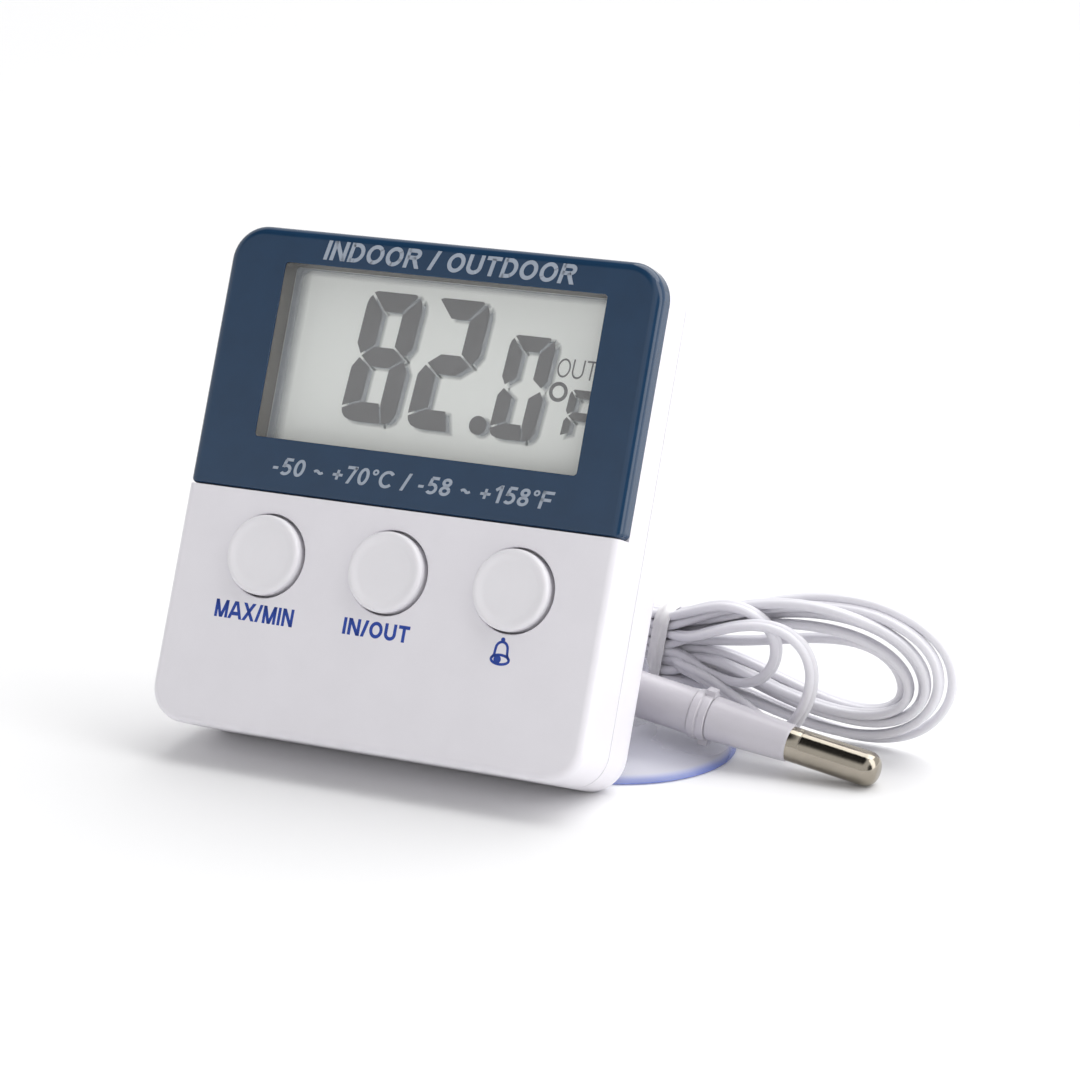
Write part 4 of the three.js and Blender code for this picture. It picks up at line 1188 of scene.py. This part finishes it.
def probe_collar():
    ring = turned([(0, 11.3), (3.3, 11.3), (3.42, 11.42), (3.42, 12.3), (3.34, 12.42), (3.24, 12.48),
                   (3.24, 12.66), (3.36, 12.78), (3.36, 13.62), (3.26, 13.75), (0, 13.75)], sides=96)
    for low, high in ((2.9, 4), (-4, -2.9)):
        ring = join(ring, bevelled(box(-0.75, 0.75, 12.5, 13.85, low, high), 0.18))
    return ring


def tip_profile():
    turns = [math.pi / 2 * i / 14 for i in range(15)]
    dome = [(0.65 + 1.75 * math.cos(t), 36.45 + 1.8 * math.sin(t)) for t in turns]
    sleeve = [(0, 25.2), (2.4, 25.2), (2.4, 26.9), (2.36, 26.98), (2.36, 27.12), (2.4, 27.2)]
    return sleeve + dome + [(0, 38.3)]


PROBE_PIECES = [
    ("boot", [(0, -11.6), (1.45, -11.6), (1.6, -11.4), (1.75, -10.9), (2.2, -8.2), (2.4, -7.2), (2.4, -6.75),
              (2.25, -6.5), (0, -6.5)], LEAD_PVC, "lead_pvc", "probe_boot"),
    ("barrel_rear", [(0, -6.3), (2.7, -6.3), (3.02, -6.1), (3.15, -5.7), (3.15, 11.12), (3.06, 11.26),
                     (0, 11.26)],
     PROBE_WHITE_PAINTED_SHADE, "probe_plastic", "probe_rear"),
    ("barrel_front", [(0, 13.8), (2.96, 13.8), (3.06, 13.9), (3.06, 14.3), (2.58, 25.1), (2.52, 25.32),
                      (2.42, 25.42), (0, 25.42)], PROBE_WHITE_PAINTED_SHADE, "probe_plastic", "probe_front"),
    ("sensor_tip", tip_profile(), NICKEL_PAINTED_DARK, "nickel", "probe_tip"),
]
for name, profile, finish, slot, node in PROBE_PIECES:
    finish_piece(turned(profile, sides=96), name, finish, "case", [node], PROBE)
finish_piece(probe_collar(), "collar", PROBE_WHITE_PAINTED_SHADE, "case", ["probe_collar"],
                            PROBE)


# ---- the suction cup -------------------------------------------------------------------------------
def suction_cup():
    under = smooth_path([(3, 2.28, 0), (6, 2.05, 0), (10, 1.3, 0), (12.2, 0.45, 0), (13.4, 0.04, 0)], 0.5)
    over = smooth_path([(CUP_RADIUS, 0.2, 0), (15.5, 0.75, 0), (14.6, 1.25, 0), (11.5, 2.15, 0), (8, 2.9, 0),
                        (5.6, 3.5, 0), (4.4, 4.3, 0)], 0.5)
    lip = [(15.6, 0.02)]
    profile = [(0, 2.3)] + [(p.x, p.y) for p in under] + lip + [(p.x, p.y) for p in over] + [(0, 4.3)]
    cup = turned(profile, sides=128)
    cup.data.transform(Matrix.Rotation(math.pi / 2, 4, "X"))
    knob_shape = [(-3.4, 3.7), (3.4, 3.7)] + arc((0, PROBE_AT_CUP), 5.2, -10, 190, 40)
    knob = bevelled(slab(knob_shape, -2.1, 2.1), 0.5, 4)
    knob.data.transform(Matrix.Rotation(math.pi / 2, 4, "Z"))
    bore = turned([(0, -12), (3.2, -12), (3.2, 12), (0, 12)], sides=96)
    bore.data.transform(Matrix.Translation((0, 0, PROBE_AT_CUP)) @ Matrix.Rotation(PROBE_FALL, 4, "Y")
                        @ Matrix.Rotation(-math.pi / 2, 4, "Z"))
    return cut(join(cup, knob), bore)


finish_piece(suction_cup(), "cup", CUP_CLEAR, "case", ["suction_cup"],
                            ROW @ Matrix.Translation(CUP))


# ---- the tie round the hank ------------------------------------------------------------------------
def tie_band():
    """A flat twist tie: a thin strip with a wire's ridge along its middle, closed round the strands."""
    section = [(-1.1, 0), (-1.12, 0.1), (-1.1, 0.2), (-0.5, 0.22), (-0.34, 0.4), (0, 0.5), (0.34, 0.4),
               (0.5, 0.22), (1.1, 0.2), (1.12, 0.1), (1.1, 0), (0, 0)]
    path = rounded(-2.42, 2.42, -5.62, 5.62, 2.0, steps=9)
    inner, outer = path(0), path(-1)
    count, size = len(inner), len(section)
    points = []
    for (y0, z0), (y1, z1) in zip(inner, outer):
        away = Vector((y1 - y0, z1 - z0)).normalized()
        points += [(x, y0 + away.x * n, z0 + away.y * n) for x, n in section]
    faces = [(i * size + j, i * size + (j + 1) % size, (i + 1) % count * size + (j + 1) % size,
              (i + 1) % count * size + j) for i in range(count) for j in range(size)]
    return tidy(mesh_object("tie", points, faces))


finish_piece(tie_band(), "tie", TIE_PVC, "case", ["hank_tie"],
                            ROW @ Matrix.Translation(TIE) @ Matrix.Rotation(TIE_TILT, 4, "Y"), 60)


# ---- CAD nodes that stay, with their finishes ----------------------------------------------------
KEPT = {
    "lcd_glass": GLASS, "zebra_strip": SILICONE, "circuit_board": BOARD_GREEN, "chip_blob": BLACK_RESIN,
    "quartz_crystal": STEEL, "indoor_thermistor": BLACK_RESIN, "piezo_buzzer": BRASS,
    "max_min_button_pad": SILICONE, "in_out_button_pad": SILICONE, "alarm_button_pad": SILICONE,
    "battery_cell": STEEL, "battery_contact": BRASS, "unit_switch_body": STEEL, "board_screw_1": STEEL,
    "board_screw_2": STEEL,
}
for node, finish in KEPT.items():
    mesh = frame["nodes"][node].data
    mesh.materials.clear()
    mesh.materials.append(finish)
